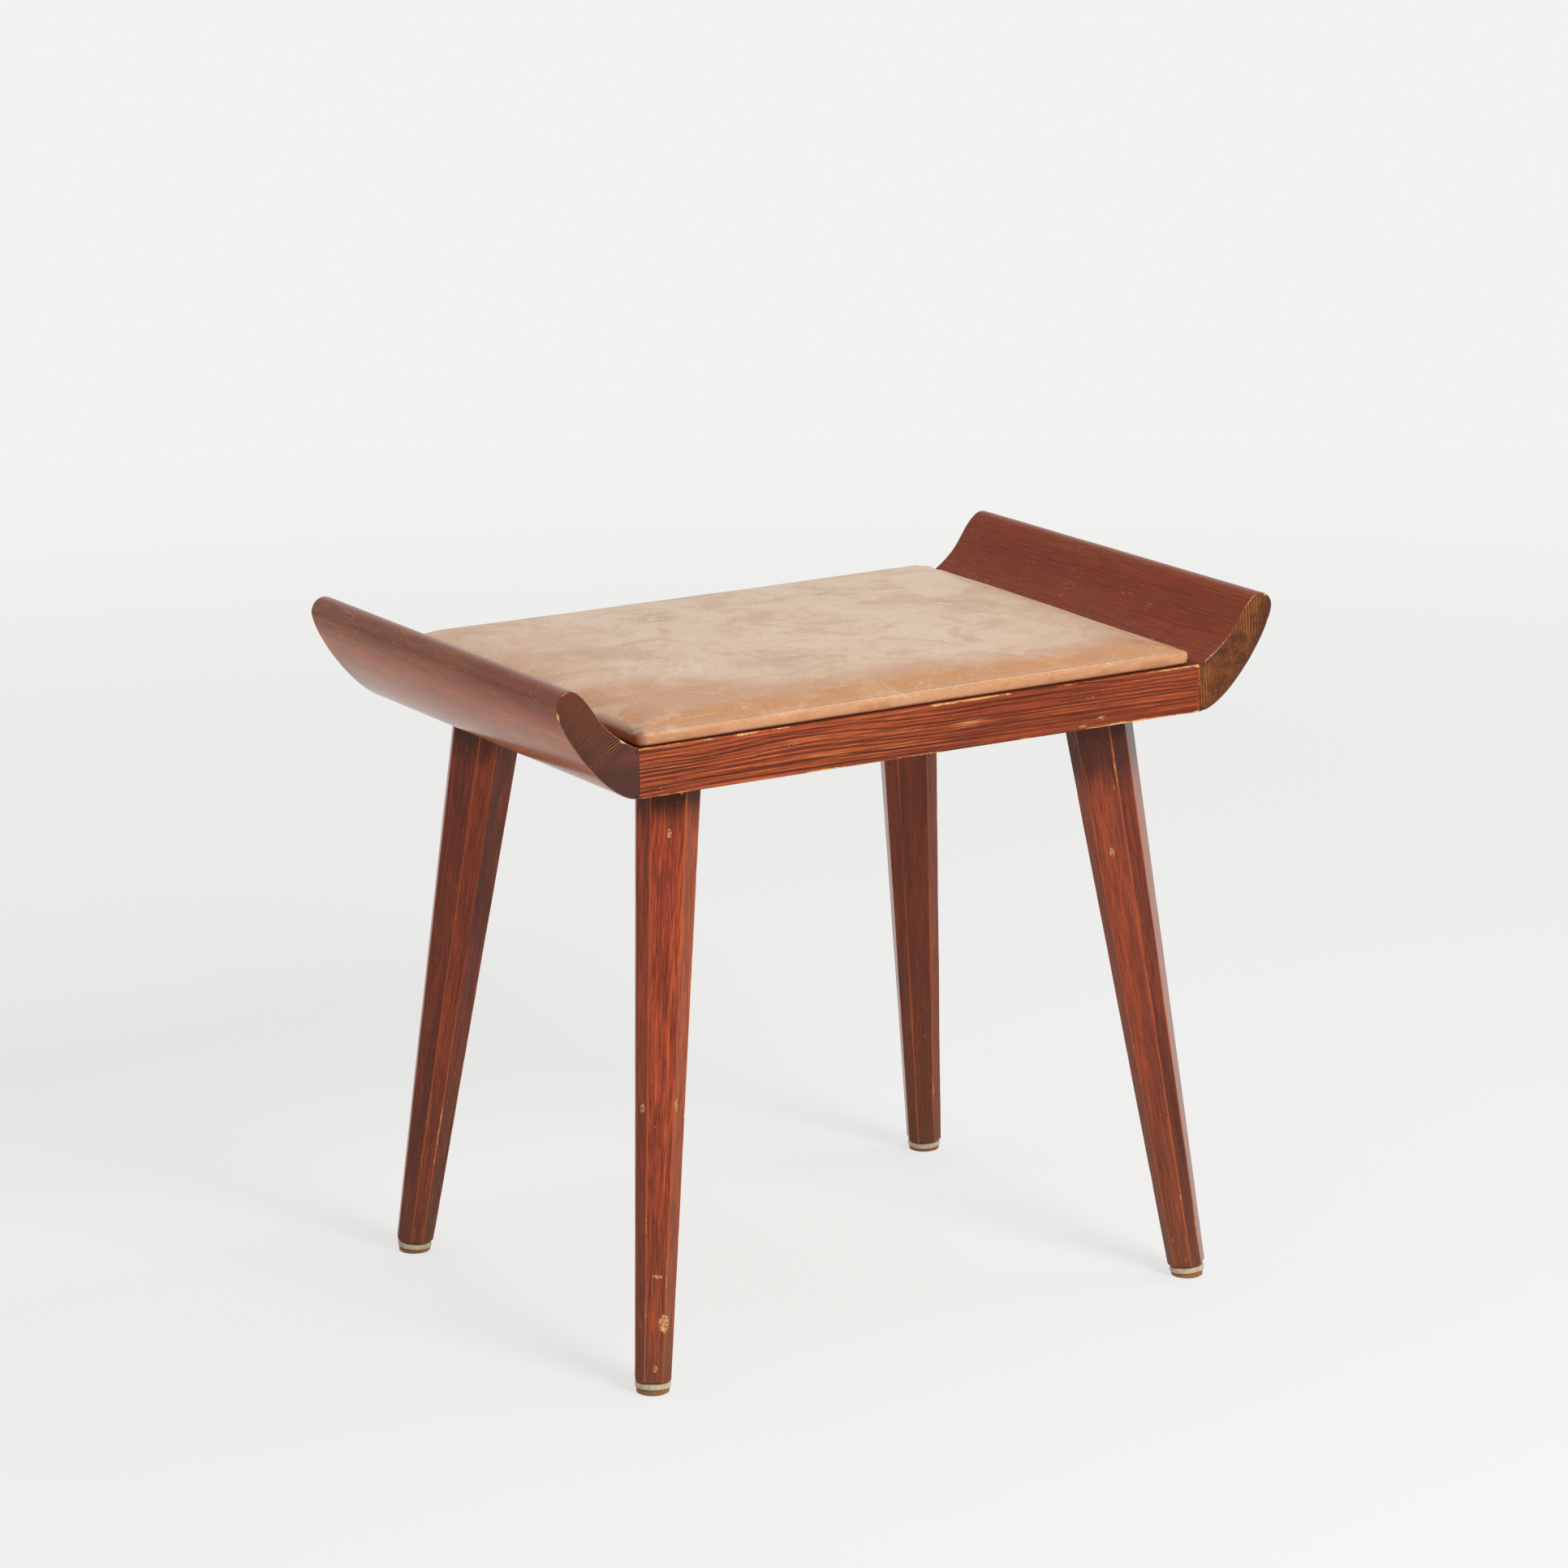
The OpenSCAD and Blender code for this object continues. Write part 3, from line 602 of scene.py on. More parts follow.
class Value:
    """The output of a node, which takes part in sums and products as a number does."""

    def __init__(self, shade, socket):
        self.shade, self.socket = shade, socket

    def __add__(self, other):
        return self.shade.math("ADD", self, other)

    def __mul__(self, other):
        return self.shade.math("MULTIPLY", self, other)

    def __sub__(self, other):
        return self.shade.math("SUBTRACT", self, other)

    def __rsub__(self, other):
        return self.shade.math("SUBTRACT", other, self)

    __radd__, __rmul__ = __add__, __mul__

    def swing(self, amount):
        """A value around 0.5 as one around 0, times an amount."""
        return self.shade.math("MULTIPLY_ADD", self, amount, -0.5 * amount)

    def step(self, low, high):
        """0 below low and 1 above high, smooth between; low may be above high."""
        inputs = {"Value": self, "From Min": low, "From Max": high, "To Min": 0, "To Max": 1}
        return self.shade.get("MapRange", inputs, interpolation_type="SMOOTHSTEP")

    def wave(self):
        """0 at each whole number and 1 halfway between two."""
        return self.shade.math("PINGPONG", self, 0.5) * 2


class Shade:
    """The nodes of a material or of the world, with short calls for what recurs."""

    def __init__(self, owner):
        owner.use_nodes = True
        self.owner, self.nodes, self.links = owner, owner.node_tree.nodes, owner.node_tree.links
        self.nodes.clear()

    def add(self, kind, inputs, **props):
        node = self.nodes.new("ShaderNode" + kind)
        for key, value in props.items():
            setattr(node, key, value)
        for key, value in inputs.items():
            if isinstance(value, Value):
                self.links.new(value.socket, node.inputs[key])
            else:
                node.inputs[key].default_value = value
        return node

    def get(self, kind, inputs, output=0, **props):
        """One output of a new node."""
        return Value(self, self.add(kind, inputs, **props).outputs[output])

    def math(self, op, a, b=0, c=0):
        return self.get("Math", {0: a, 1: b, 2: c}, operation=op)

    def most(self, a, *others):
        for b in others:
            a = self.math("MAXIMUM", a, b)
        return a

    def attr(self, name, output="Fac"):
        return self.get("Attribute", {}, output, attribute_name=name)

    def split(self, vector):
        return [Value(self, out) for out in self.add("SeparateXYZ", {0: vector}).outputs]

    def join(self, x, y, z):
        return self.get("CombineXYZ", {0: x, 1: y, 2: z})

    def mix(self, share, a, b, blend="MIX"):
        return self.get("Mix", {0: share, 6: a, 7: b}, 2, data_type="RGBA", blend_type=blend)

    def shaded(self, colour, value):
        """A colour times a grey value."""
        return self.mix(1, colour, self.join(value, value, value), "MULTIPLY")


class Surface(Shade):
    """A new material; its textures lie in one millimetre field: a mesh layer, or the object's own places."""

    def __init__(self, name, layer=None, seed=0):
        super().__init__(bpy.data.materials.new(name))
        self.seed, self.colour = seed, None
        if layer:
            self.field = self.attr(layer, "Vector")
        else:
            place = self.get("TexCoord", {}, "Object")
            self.field = self.get("VectorMath", {0: place, 3: 1 / MM}, operation="SCALE")

    def lay(self, share, colour):
        """Lays a share of a colour over the colour so far."""
        self.colour = self.mix(share, self.colour, colour)

    def shade_by(self, value):
        self.colour = self.shaded(self.colour, value)

    def stretch(self, scale, shift=(0, 0, 0)):
        return self.get("VectorMath", {0: self.field, 1: scale, 2: shift}, operation="MULTIPLY_ADD")

    def noise(self, scale, detail=2, roughness=0.5, distortion=0, vector=None):
        inputs = {"Vector": vector or self.field, "Scale": scale, "Detail": detail}
        inputs.update({"Roughness": roughness, "Distortion": distortion})
        return self.get("TexNoise", inputs, "Fac")

    def drawn(self, scale, shift=(0, 0, 0), detail=2, roughness=0.5, distortion=0):
        """Noise with a scale of its own along each axis."""
        return self.noise(1, detail, roughness, distortion, self.stretch(scale, shift))

    def streaks(self, along, across, offset=0, detail=2, roughness=0.55):
        """Noise drawn out along the grain; the offset is added to the seed."""
        seed = self.seed + offset
        return self.drawn((along, across, across), (seed, seed * 1.9, seed * 0.7), detail, roughness)

    def cells(self, vector, scale=1):
        outputs = self.add("TexVoronoi", {"Vector": vector, "Scale": scale}, feature="F1").outputs
        return Value(self, outputs["Distance"]), Value(self, outputs["Color"])

    def curve(self, value, stops):
        """A broken line through (place, height) stops, along the value."""
        low, high = stops[0][0], stops[-1][0]
        share = self.math("MULTIPLY_ADD", value, 1 / (high - low), -low / (high - low))
        node = self.add("ValToRGB", {0: share})
        elements = node.color_ramp.elements
        elements.remove(elements[-1])
        for k, (place, height) in enumerate(stops):
            at = (place - low) / (high - low)
            element = elements.new(at) if k else elements[0]
            element.position, element.color = at, (height, height, height, 1)
        return Value(self, node.outputs[0])

    def spots(self, places, rim=0):
        """1 inside any of a few ellipsoids: centre, half sizes and, maybe, a turn about the third axis."""
        found = []
        for centre, sizes, *turn in places:
            inputs = {"Location": centre, "Rotation": (0, 0, math.radians(turn[0] if turn else 0))}
            inputs.update({"Vector": self.field, "Scale": sizes})
            local = self.get("Mapping", inputs, vector_type="TEXTURE")
            away = self.get("VectorMath", {0: local}, "Value", operation="LENGTH")
            found.append(away.step(1, rim))
        return self.most(*found) if found else 0

    def nicks(self, stretch, share, size, offset=0):
        """Scattered small chips, one or none in each cell of the stretched field; 1 inside a chip."""
        seed = self.seed + offset
        bend = self.get("TexNoise", {"Vector": self.field, "Scale": 0.9, "Detail": 2}, "Color")
        bend = self.get("VectorMath", {0: bend, 3: 0.22}, operation="SCALE")
        place = self.stretch(stretch, (seed, seed * 2.3, seed * 0.7))
        distance, colour = self.cells(self.get("VectorMath", {0: place, 1: bend}, operation="ADD"))
        chosen = self.split(colour)
        picked = chosen[0].step(1 - share, 1 - share + 0.02)
        return picked * (distance - chosen[1] * size).step(0.025, -0.01)

    def finish(self, roughness, height, depth, fixed=None, coat=0):
        """The material, with its relief's depth in metres."""
        bump = self.get("Bump", {"Height": height, "Distance": depth, "Strength": 1})
        inputs = {"Base Color": self.colour, "Roughness": roughness, "Normal": bump}
        inputs.update({"Coat Weight": coat, "Coat Roughness": 0.12, **(fixed or {})})
        self.add("OutputMaterial", {0: self.get("BsdfPrincipled", inputs)})
        return self.owner


# Wood

OCHRE, STRAW, TAN = rgb(214, 158, 92), rgb(232, 200, 150), rgb(192, 92, 42)
LACQUER, DULL = {"Specular IOR Level": 0.24}, {"Specular IOR Level": 0.13}


def bands_of(s, ring, along, pitch, duty, soft, least):
    """Stained growth bands: 1 in a dark band; duty is the light share of each ring."""
    wide = s.noise(1, 1, vector=s.join(ring * 0.14, s.seed, 0))
    turns = ring * (1 / pitch) + wide * 2.4
    strength = s.noise(1, 0, vector=s.join(s.math("FLOOR", turns) * 3.7, s.seed, along * 0.006))
    band = turns.wave().step(duty - soft, duty + soft)
    return band * (least + strength.step(0.28, 0.6) * (1 - least))


def bent(s, ring, broad, fine):
    """A ring field with the slow and quick waves of real grain, in millimetres."""
    slow = s.drawn((0.006, 0.03, 0.03), (s.seed, s.seed, s.seed))
    quick = s.drawn((0.024, 0.2, 0.2), (s.seed * 2, 3, s.seed))
    return ring + slow.swing(broad * 2) + quick.swing(fine * 2)


def worn_edge(edge, ragged, broad, bias):
    """Where an arris has lost its stain, and the thin tan fringe round that."""
    total = edge + ragged.swing(0.9) + broad.swing(1.1) + bias
    return total.step(1.02, 1.08), total.step(0.9, 1.02)


def lay_bare(s, share, grit):
    """Shows the pale wood under the stain."""
    s.lay(share, s.mix(grit.step(0.52, 0.62), OCHRE, STRAW))


def rail_material(name, seed, marks, front):
    s = Surface(name, "grain", seed)
    along, up, across = s.split(s.field)
    ring = up * s.math("MULTIPLY_ADD", up, -0.006, 0.8) + across * 0.3
    ring = ring + s.math("SINE", along * 0.0105) * 1.2
    if front:
        ring = ring + s.spots([((-98, 2, 12), (80, 22, 30))]) * -2.2
    ring = bent(s, ring, 3.4, 0.55)
    patchy = s.streaks(0.012, 0.06, 4)
    duty = 0.4 + up * 0.01 + patchy.swing(0.5) + s.streaks(0.03, 0.8, 12).swing(0.7)
    bands = bands_of(s, ring, along, 2.1, duty, 0.3, 0.35)
    tone = s.streaks(0.01, 0.11, 1, 3)
    light = s.mix(tone.step(0.36, 0.64), rgb(194, 96, 50), rgb(166, 75, 41))
    dark = s.mix(patchy.step(0.35, 0.65), rgb(116, 50, 28), rgb(84, 38, 25))
    s.colour = s.mix(bands * 0.95, light, dark)
    fibres = s.streaks(0.05, 1.15, 0, 5, 0.8)
    lines = s.streaks(0.01, 1.6, 21, 3, 0.75).step(0.36, 0.62)
    falling = 1 + along.step(-150, 120) * -0.25
    s.shade_by((0.14 + fibres * 1.6) * (0.48 + lines * 0.98) * falling)
    threads = s.streaks(0.012, 1.25, 15, 3, 0.6)
    s.lay(threads.step(0.5, 0.62) * 0.6, rgb(80, 34, 24))
    s.lay(along.step(-100, 140) * 0.2, rgb(138, 52, 24))
    pores = s.streaks(0.16, 3.4, 2, 1)
    s.lay(pores.step(0.62, 0.7) * 0.6, rgb(56, 25, 19))
    # Streaks where the light wood shows through, in bundles
    bundle = s.spots(marks["bundles"])
    thin = s.streaks(0.03, 1.5, 7) + bundle * 0.12
    anywhere = s.streaks(0.016, 0.09, 9).step(0.54, 0.68) * 0.5
    pale = thin.step(0.6, 0.7) * s.most(bundle, anywhere)
    s.lay(pale * 0.8, s.mix(bundle, TAN, OCHRE))
    # Chips and worn arrises
    dashes = s.nicks((0.15, 0.34, 0.34), 0.17, 0.1)
    crumbs = s.nicks((0.55, 0.6, 0.6), 0.1, 0.1, 3)
    grit = s.noise(0.9, 3, 0.7)
    dents = s.spots(marks["chips"]) * grit.step(0.5, 0.56)
    ragged = s.drawn((0.22, 1.4, 1.4), (seed, 0, 0), 4, 0.75)
    broad = s.streaks(0.03, 0.03, seed * 2)
    wear = s.mix(up.step(-2, 2), s.curve(along, marks["low"]), s.curve(along, marks["top"]))
    bias = wear.swing(0.55) + along.step(212, 216) * 0.22 - 0.13
    gone, fringe = worn_edge(s.attr("edge"), ragged, broad, bias)
    # The rail's top face beside the pad: dirt and painted shadow from the pad
    ledge_dirt_and_shade = up.step(15.9, 16.3) * across.step(11.6, 11)
    s.lay(ledge_dirt_and_shade * 0.75, rgb(84, 38, 32))
    s.lay(fringe * 0.75, TAN)
    lost = s.most(gone, dashes, crumbs * 0.8, dents)
    lay_bare(s, lost * 0.92, grit)
    if front:
        knot = s.spots([((-103, 3.5, 12), (13, 2.6, 20), -4)]) * grit.step(0.56, 0.46)
        s.lay(knot * 0.8, rgb(66, 30, 28))
    height = bands * -0.5 + fibres * 0.7 + lost * -1
    roughness = 0.33 + fibres * 0.16 + lost * 0.25
    return s.finish(roughness, height, 0.00012, DULL)


def left_end_grain(s, out, up):
    """Thin orange rings on dark brown, fading into fine arcs round the joint's foot."""
    du, dz = out - 36.6, up - 41.3
    first, second = du * 0.561 + dz * 0.828, du * 0.828 + dz * -0.561
    wobble = s.drawn((0.002, 0.07, 0.07), (s.seed, 2, 0))
    ring = out * 0.62 + up * 0.785 + first * second * 0.0062 + wobble.swing(3)
    lift = ring - 40
    turns = ring * 0.55 + lift * lift * 0.0046
    each = s.noise(1, 0, vector=s.join(s.math("FLOOR", turns + 0.5) * 2.9, s.seed, 0))
    pores = s.drawn((0, 2, 2), (s.seed, 0, 1), 3, 0.7)
    # From the hollow side, where the lines are brightest, to the outer side
    inward = (out * 0.822 + up * -0.569).step(26, -2)
    shown = (ring + second * 0.1).step(34, 40)
    bright = shown * (0.34 + inward * 0.66 + each.swing(0.9))
    speckle = s.drawn((0, 3.4, 3.4), (s.seed, 4, 1), 2, 0.7)
    line = turns.wave().step(0.62, 0.1) * (bright * speckle.step(0.3, 0.66))
    base = s.mix(up.step(30, 12), rgb(48, 26, 18), rgb(70, 38, 27))
    base = s.mix(ring.step(44, 30) * up.step(16, 28), base, rgb(92, 44, 38))
    base = s.shaded(base, 0.3 + pores * 1.4)
    colour = s.mix(line, base, s.mix(each, rgb(152, 72, 32), rgb(184, 100, 50)))
    rise = up - 1
    reach = s.math("SQRT", out * out + rise * rise)
    arcs = s.math("PINGPONG", (reach + wobble.swing(2)) * 0.72, 0.5)
    faint = reach.step(34, 24) * (arcs.step(0.16, 0.04) * pores.step(0.38, 0.62))
    return s.mix(faint * 0.26, colour, rgb(150, 104, 84)), pores


def right_end_grain(s, out, up):
    """Golden and dark brown, hatched both ways, with a few upright lines."""
    upright = s.drawn((0.002, 2.4, 0.22), (s.seed, 0, 0), 2, 0.7)
    level = s.drawn((0.002, 0.3, 2.2), (s.seed, 5, 0), 2, 0.7)
    pores = s.drawn((0, 2.2, 2.2), (s.seed, 0, 1), 3, 0.75)
    tone = s.drawn((0.002, 0.07, 0.07), (s.seed, 3, 0))
    golden = upright.swing(0.8) + level.swing(0.55) + pores.swing(1.1) + tone.swing(0.7)
    colour = s.mix(golden.step(-0.24, 0.42), rgb(58, 32, 23), rgb(148, 84, 38))
    outer = (out + up * -0.36 + tone.swing(16)).step(22, 34)
    colour = s.mix(outer * 0.75, colour, rgb(82, 42, 32))
    wave = ((out + up * 0.05 + tone.swing(3)) * (1 / 2.3)).wave()
    where = out.step(9, 6) + up.step(44, 52) * out.step(52, 46)
    lines = wave.step(0.42, 0.12) * (where * (pores + level.swing(0.5)).step(0.35, 0.6))
    colour = s.mix(lines * 0.55, colour, rgb(192, 118, 52))
    dark = wave.step(0.66, 0.92) * where
    return s.mix(dark * 0.45, colour, rgb(58, 32, 26)), pores


def left_shades(s, out, up):
    """The left wing's dark crest, its reddish flames and a patch of dark strokes."""
    crest = up.step(50, 62) * out.step(30, 44)
    s.lay(crest * 0.55, rgb(92, 40, 26))
    flames = s.spots([((5, 58, 58), (75, 22, 9)), ((-90, 58, 60), (50, 22, 6))])
    s.lay(flames * s.streaks(0.022, 0.42, 5, 2).step(0.5, 0.6) * 0.7, rgb(178, 84, 46))
    gloom = s.spots([((70, 48, 38), (60, 26, 14))])
    s.lay(gloom * s.streaks(0.09, 0.5, 6, 2).step(0.6, 0.7) * 0.65, rgb(66, 38, 30))


def wing_material(name, seed, marks, left):
    s = Surface(name, "grain", seed)
    along, out, up = s.split(s.field)
    cap = s.attr("cap").step(0.3, 0.7)
    # Faces along the grain
    ring = bent(s, out * 0.45 + up * 0.55, 7, 0.9)
    tone = s.streaks(0.008, 0.07, 1, 3)
    bands = bands_of(s, ring, along, 2, 0.5 + tone.swing(0.4), 0.3, 0.2)
    fibres = s.streaks(0.05, 0.95, 0, 5, 0.78)
    light, red, dark = marks["colours"]
    s.colour = s.mix(tone.step(0.38, 0.64), light, red)
    s.lay(bands * 0.34, dark)
    if left:
        left_shades(s, out, up)
    blotch = s.drawn((0.03, 0.07, 0.07), (seed, 6, 0), 4, 0.65)
    s.shade_by(-0.2 + fibres * 1.7 + blotch * 0.36 + s.noise(0.8, 3, 0.75) * 0.44)
    end, pores = (left_end_grain if left else right_end_grain)(s, out, up)
    s.lay(cap, end)
    # Scratches along the grain, chips and worn arrises
    faces = 1 - cap
    where = s.streaks(0.03, 0.08, 8)
    scratch = s.streaks(0.11, 1.9, 3, 1).step(0.63, 0.69) * where.step(0.56, 0.64) * faces
    hairs = s.streaks(0.05, 2.6, 11, 1).step(0.6, 0.68) * faces
    s.lay(hairs * 0.35, dark)
    dashes = s.nicks((0.1, 0.2, 0.2), 0.05, 0.06)
    crumbs = s.nicks((0.35, 0.4, 0.4), 0.016, 0.09, 4)
    grit = s.noise(0.9, 3, 0.7)
    edge = s.attr("edge")
    ragged = s.drawn((0.8, 0.8, 0.8), (seed, 0, 0), 4, 0.8)
    broad = s.drawn((0.05, 0.06, 0.06), (seed * 3, 0, 5), 1)
    bias = -0.12 + s.spots(marks["worn"]) * 0.62
    gone, fringe = worn_edge(edge, 0.5 + ragged.swing(1.6), broad, bias)
    s.lay(fringe * 0.5, TAN)
    groups = s.nicks((0.22, 0.6, 0.6), 0.95, 0.26, 6) * s.spots(marks["clusters"])
    lost = s.most(gone, dashes * 0.8, crumbs * 0.9, scratch * 0.55, groups)
    lay_bare(s, lost * 0.9, grit)
    height = fibres * 0.5 + lost * -0.9 + pores * cap * 0.7
    roughness = 0.19 + fibres * 0.12 + lost * 0.3 + cap * 0.24
    shine = edge.step(0.72, 0.86) * lost.step(0.6, 0.2)
    if left:
        shine = s.most(shine, up.step(64, 10) * faces * 0.68)
    return s.finish(roughness, height, 0.0001, LACQUER if left else DULL, shine)


def leg_material(name, seed, centre, pitch, depth, shade, marks):
    """Rings about the tree's centre, in each facet's tone and painted shade, with painted shadow of the frame
    above shade of the height.
    """
    s = Surface(name, "grain", seed)
    along, p, q = s.split(s.field)
    dp, dq = p - centre[0], q - centre[1]
    ring = bent(s, s.math("SQRT", dp * dp + dq * dq), 3.6, 0.6)
    facet, bright, painted_sheen = s.split(s.attr("tone", "Vector"))
    patchy = s.streaks(0.012, 0.09, 4)
    bands = bands_of(s, ring, along, pitch, 0.52 + patchy.swing(0.5), 0.32, 0.3)
    tone = s.streaks(0.01, 0.14, 1, 4, 0.65).step(0.38, 0.64)
    light = s.mix(tone, rgb(188, 82, 44), rgb(148, 58, 35))
    s.colour = s.mix(bands * 0.34, light, rgb(98, 40, 28))
    s.lay(facet * 0.85, s.mix(tone, rgb(150, 62, 36), rgb(124, 50, 32)))
    fibres = s.streaks(0.045, 1.15, 0, 5, 0.8)
    lines = s.streaks(0.006, 1.7, 21, 3, 0.75).step(0.36, 0.62)
    rise = s.attr("height")
    # Each facet's brightness and the leg's depth are painted shade; the leg is also a little darker towards
    # the foot
    level = bright * (depth + rise.step(0.6, 0.12) * (-0.3 * depth))
    s.shade_by((0.14 + fibres * 1.6) * (0.54 + lines * 0.88) * level)
    # Painted sheen: a pale brown veil over facets seen at a glancing angle
    s.lay(painted_sheen * 0.6, rgb(176, 104, 72))
    s.lay(rise.step(0.42, 0.05) * 0.24, rgb(112, 72, 54))
    threads = s.streaks(0.01, 0.8, 15, 3, 0.7)
    s.lay(threads.step(0.5, 0.64) * (0.55 + facet * -0.25), rgb(74, 32, 25))
    blotch = s.streaks(0.02, 0.1, 6)
    orange = s.most(blotch.step(0.6, 0.74), s.spots(marks["orange"])) * (1 - facet)
    s.lay(orange * 0.42, rgb(196, 82, 34))
    # Painted shadow of the frame over the top of the leg
    painted_frame_shadow = (rise + s.streaks(0.02, 0.9, 2).swing(0.1)).step(shade, shade + 0.07)
    s.lay(painted_frame_shadow * 0.78, rgb(52, 28, 22))
    foot = (rise + fibres.swing(0.05)).step(0.11, 0)
    s.lay(foot * 0.4, rgb(104, 66, 44))
    # Worn arrises, streaks and chips
    edge, low = s.attr("edge"), rise.step(0.45, 0)
    ragged = s.drawn((0.12, 1.1, 1.1), (seed, 0, 0), 4, 0.7)
    broad = s.streaks(0.016, 0.09, seed * 2)
    thin = (edge + ragged.swing(0.24) + broad.swing(0.5)).step(0.85, 0.99)
    s.lay(thin * 0.5, TAN)
    gone = worn_edge(edge, ragged, broad, -0.17 + low * 0.06)[0]
    streak_at = s.streaks(0.016, 0.09, 9) + rise.step(0.3, 0.05) * 0.16
    pale = s.streaks(0.035, 1.4, 7).step(0.58, 0.68) * streak_at.step(0.54, 0.66)
    s.lay(pale * 0.55, TAN)
    dashes = s.nicks((0.16, 0.34, 0.34), 0.09, 0.09)
    worn_at = s.drawn((0.02, 0.06, 0.06), (seed, 2, 1)).step(0.5, 0.6)
    crumbs = s.nicks((0.4, 0.5, 0.5), 0.05, 0.1, 2)
    crumbs = s.most(crumbs, s.nicks((0.42, 0.9, 0.9), 0.3, 0.16, 12) * worn_at)
    low_chips = s.nicks((0.13, 0.4, 0.4), 0.26, 0.1, 5) * low
    grit = s.noise(0.9, 3, 0.7)
    dents = s.spots(marks["chips"], 0.6) * grit.step(0.44, 0.52)
    lost = s.most(gone, dashes * 0.85, crumbs, low_chips, dents)
    lay_bare(s, lost * 0.88, grit)
    height = bands * -0.35 + fibres * 0.6 + lost * -0.9
    roughness = 0.3 + fibres * 0.16 + lost * 0.3
    shine = painted_sheen.step(0.66, 0.84) * 0.6 * lost.step(0.6, 0.2)
    return s.finish(roughness, height, 0.00011, LACQUER, shine)


# Leather

# The middle height of the marks on the seat's top
SEAT_AT = 448
# Smudges on the seat: place, half sizes, turn and force
SCUFFS = [
    (-57, 96, 36, 26, -31, 0.8), (86, 104, 30, 20, -31, 0.7),
    (-116, -12, 34, 18, -31, 0.5), (68, -20, 34, 8, 30, 0.6),
    (-30, -60, 54, 26, -20, 0.36), (150, 30, 36, 30, 10, 0.3),
]


def leather_material(name):
    s = Surface(name)
    x, y, z = s.split(s.field)
    broad = s.noise(0.012, 3, 0.55)
    mottle = s.noise(0.05, 4, 0.62)
    clouds = s.noise(0.02, 6, 0.66, 0.9)
    fine = s.noise(0.72, 3, 0.8)
    pale, warm, deep = rgb(226, 194, 162), rgb(203, 138, 82), rgb(184, 124, 84)
    front = (y + broad.swing(90) + mottle.swing(40)).step(-88, -150)
    near = s.spots([((-205, -150, SEAT_AT), (150, 125, 90))], 0.6)
    left = (x + broad.swing(140)).step(-110, -215)
    used = s.most(front, near, left * 0.6)
    # The pale colour is partly worn leather and partly painted sheen; the seat is warm where it is used
    s.colour = s.mix(used * 0.88, pale, warm)
    s.lay(clouds.step(0.47, 0.66) * 0.5, rgb(192, 148, 116))
    s.lay(mottle.step(0.5, 0.66) * 0.38, rgb(194, 152, 120))
    s.lay(clouds.step(0.5, 0.34) * 0.4, rgb(230, 208, 188))
    s.shade_by(0.31 + fine * 1.12 + mottle * 0.24)
    # Smudges at a few places, made of fine strokes
    strokes = s.drawn((0.045, 0.12, 0.05), detail=6, roughness=0.78, distortion=0.5).step(0.44, 0.6)
    for at_x, at_y, half_x, half_y, turn, force in SCUFFS:
        smudge = s.spots([((at_x, at_y, SEAT_AT), (half_x, half_y, 30), turn)]) * force
        s.lay(strokes * smudge, rgb(150, 98, 66))
    # Fine scratches, some pale and some dark
    hair = s.drawn((0.03, 0.55, 0.3), (5, 1, 2), distortion=0.4)
    hair_at = s.noise(0.022)
    s.lay(hair.step(0.62, 0.68) * hair_at.step(0.46, 0.6) * 0.28, rgb(228, 208, 190))
    s.lay(hair.step(0.36, 0.31) * hair_at.step(0.54, 0.4) * 0.26, rgb(150, 104, 80))
    s.lay(s.nicks((0.2, 0.2, 0.2), 0.16, 0.045, 3) * 0.6, rgb(112, 74, 52))
    s.lay(s.nicks((0.1, 0.1, 0.1), 0.07, 0.03, 9) * 0.6, rgb(240, 226, 210))
    # The side is browner; where it meets the rail it is stained and darkened with painted shade
    side = z.step(RAIL_TOP + 8, RAIL_TOP + 5)
    s.lay(side * 0.8, s.mix(mottle.step(0.4, 0.65), rgb(200, 148, 110), deep))
    # Painted shade in the crevice between the seat and the left wing, near the front
    crevice_shade = (x + mottle.swing(3)).step(-207, -214) * y.step(-60, -120)
    s.lay(crevice_shade * 0.62, rgb(104, 62, 42))
    # Stain and painted shade along the foot of the side
    soil_and_shade = (z + mottle.swing(2.4)).step(RAIL_TOP + 2, RAIL_TOP + 0.4)
    s.lay(soil_and_shade * 0.75, rgb(104, 54, 44))
    pin = s.spots([((210.5, -163, RAIL_TOP + 7), (0.9, 2, 0.9))], 0.5)
    s.lay(pin * 0.8, rgb(86, 50, 34))
    # Pebbles, coarser where the seat is used
    pebble = s.cells(s.stretch((0.75, 0.75, 0.75)))[0]
    coarse = s.most(used * 0.8, s.spots([((165, -70, SEAT_AT), (70, 80, 30))]))
    s.lay(pebble.step(0.55, 0.85) * coarse * 0.25, deep)
    relief = pebble * (0.15 + coarse * 0.85) * -0.8 + s.noise(0.9, 3, 0.6) * 0.5 + mottle * 0.8
    roughness = 0.36 + used * -0.04 + mottle.swing(0.16)
    roll = z.step(RAIL_TOP + 5.5, RAIL_TOP + 7.5) * y.step(6 - PAD_Y, 4 - PAD_Y)
    gloss = {"Specular IOR Level": 0.25, "Coat Roughness": 0.24}
    return s.finish(roughness, relief, 0.00016, gloss, roll * 0.8)


# Small and hidden pieces

def plastic_material(name):
    s = Surface(name)
    mottle = s.noise(0.25, 4, 0.6)
    dirt = s.drawn((1.2, 1.2, 0.5), detail=3, roughness=0.65)
    height = s.attr("height")
    low = (height + mottle * 0.6).step(-4, -4.8)
    s.colour = s.mix(mottle.step(0.35, 0.7), rgb(202, 186, 160), rgb(178, 158, 128))
    s.lay(dirt.step(0.58, 0.75) * 0.5, rgb(128, 100, 72))
    s.lay(s.most(low, height.step(-1.1, -0.8)) * 0.8, rgb(78, 52, 38))
    return s.finish(0.42 + dirt * 0.2, dirt + mottle, 0.00008, {"Specular IOR Level": 0.35})


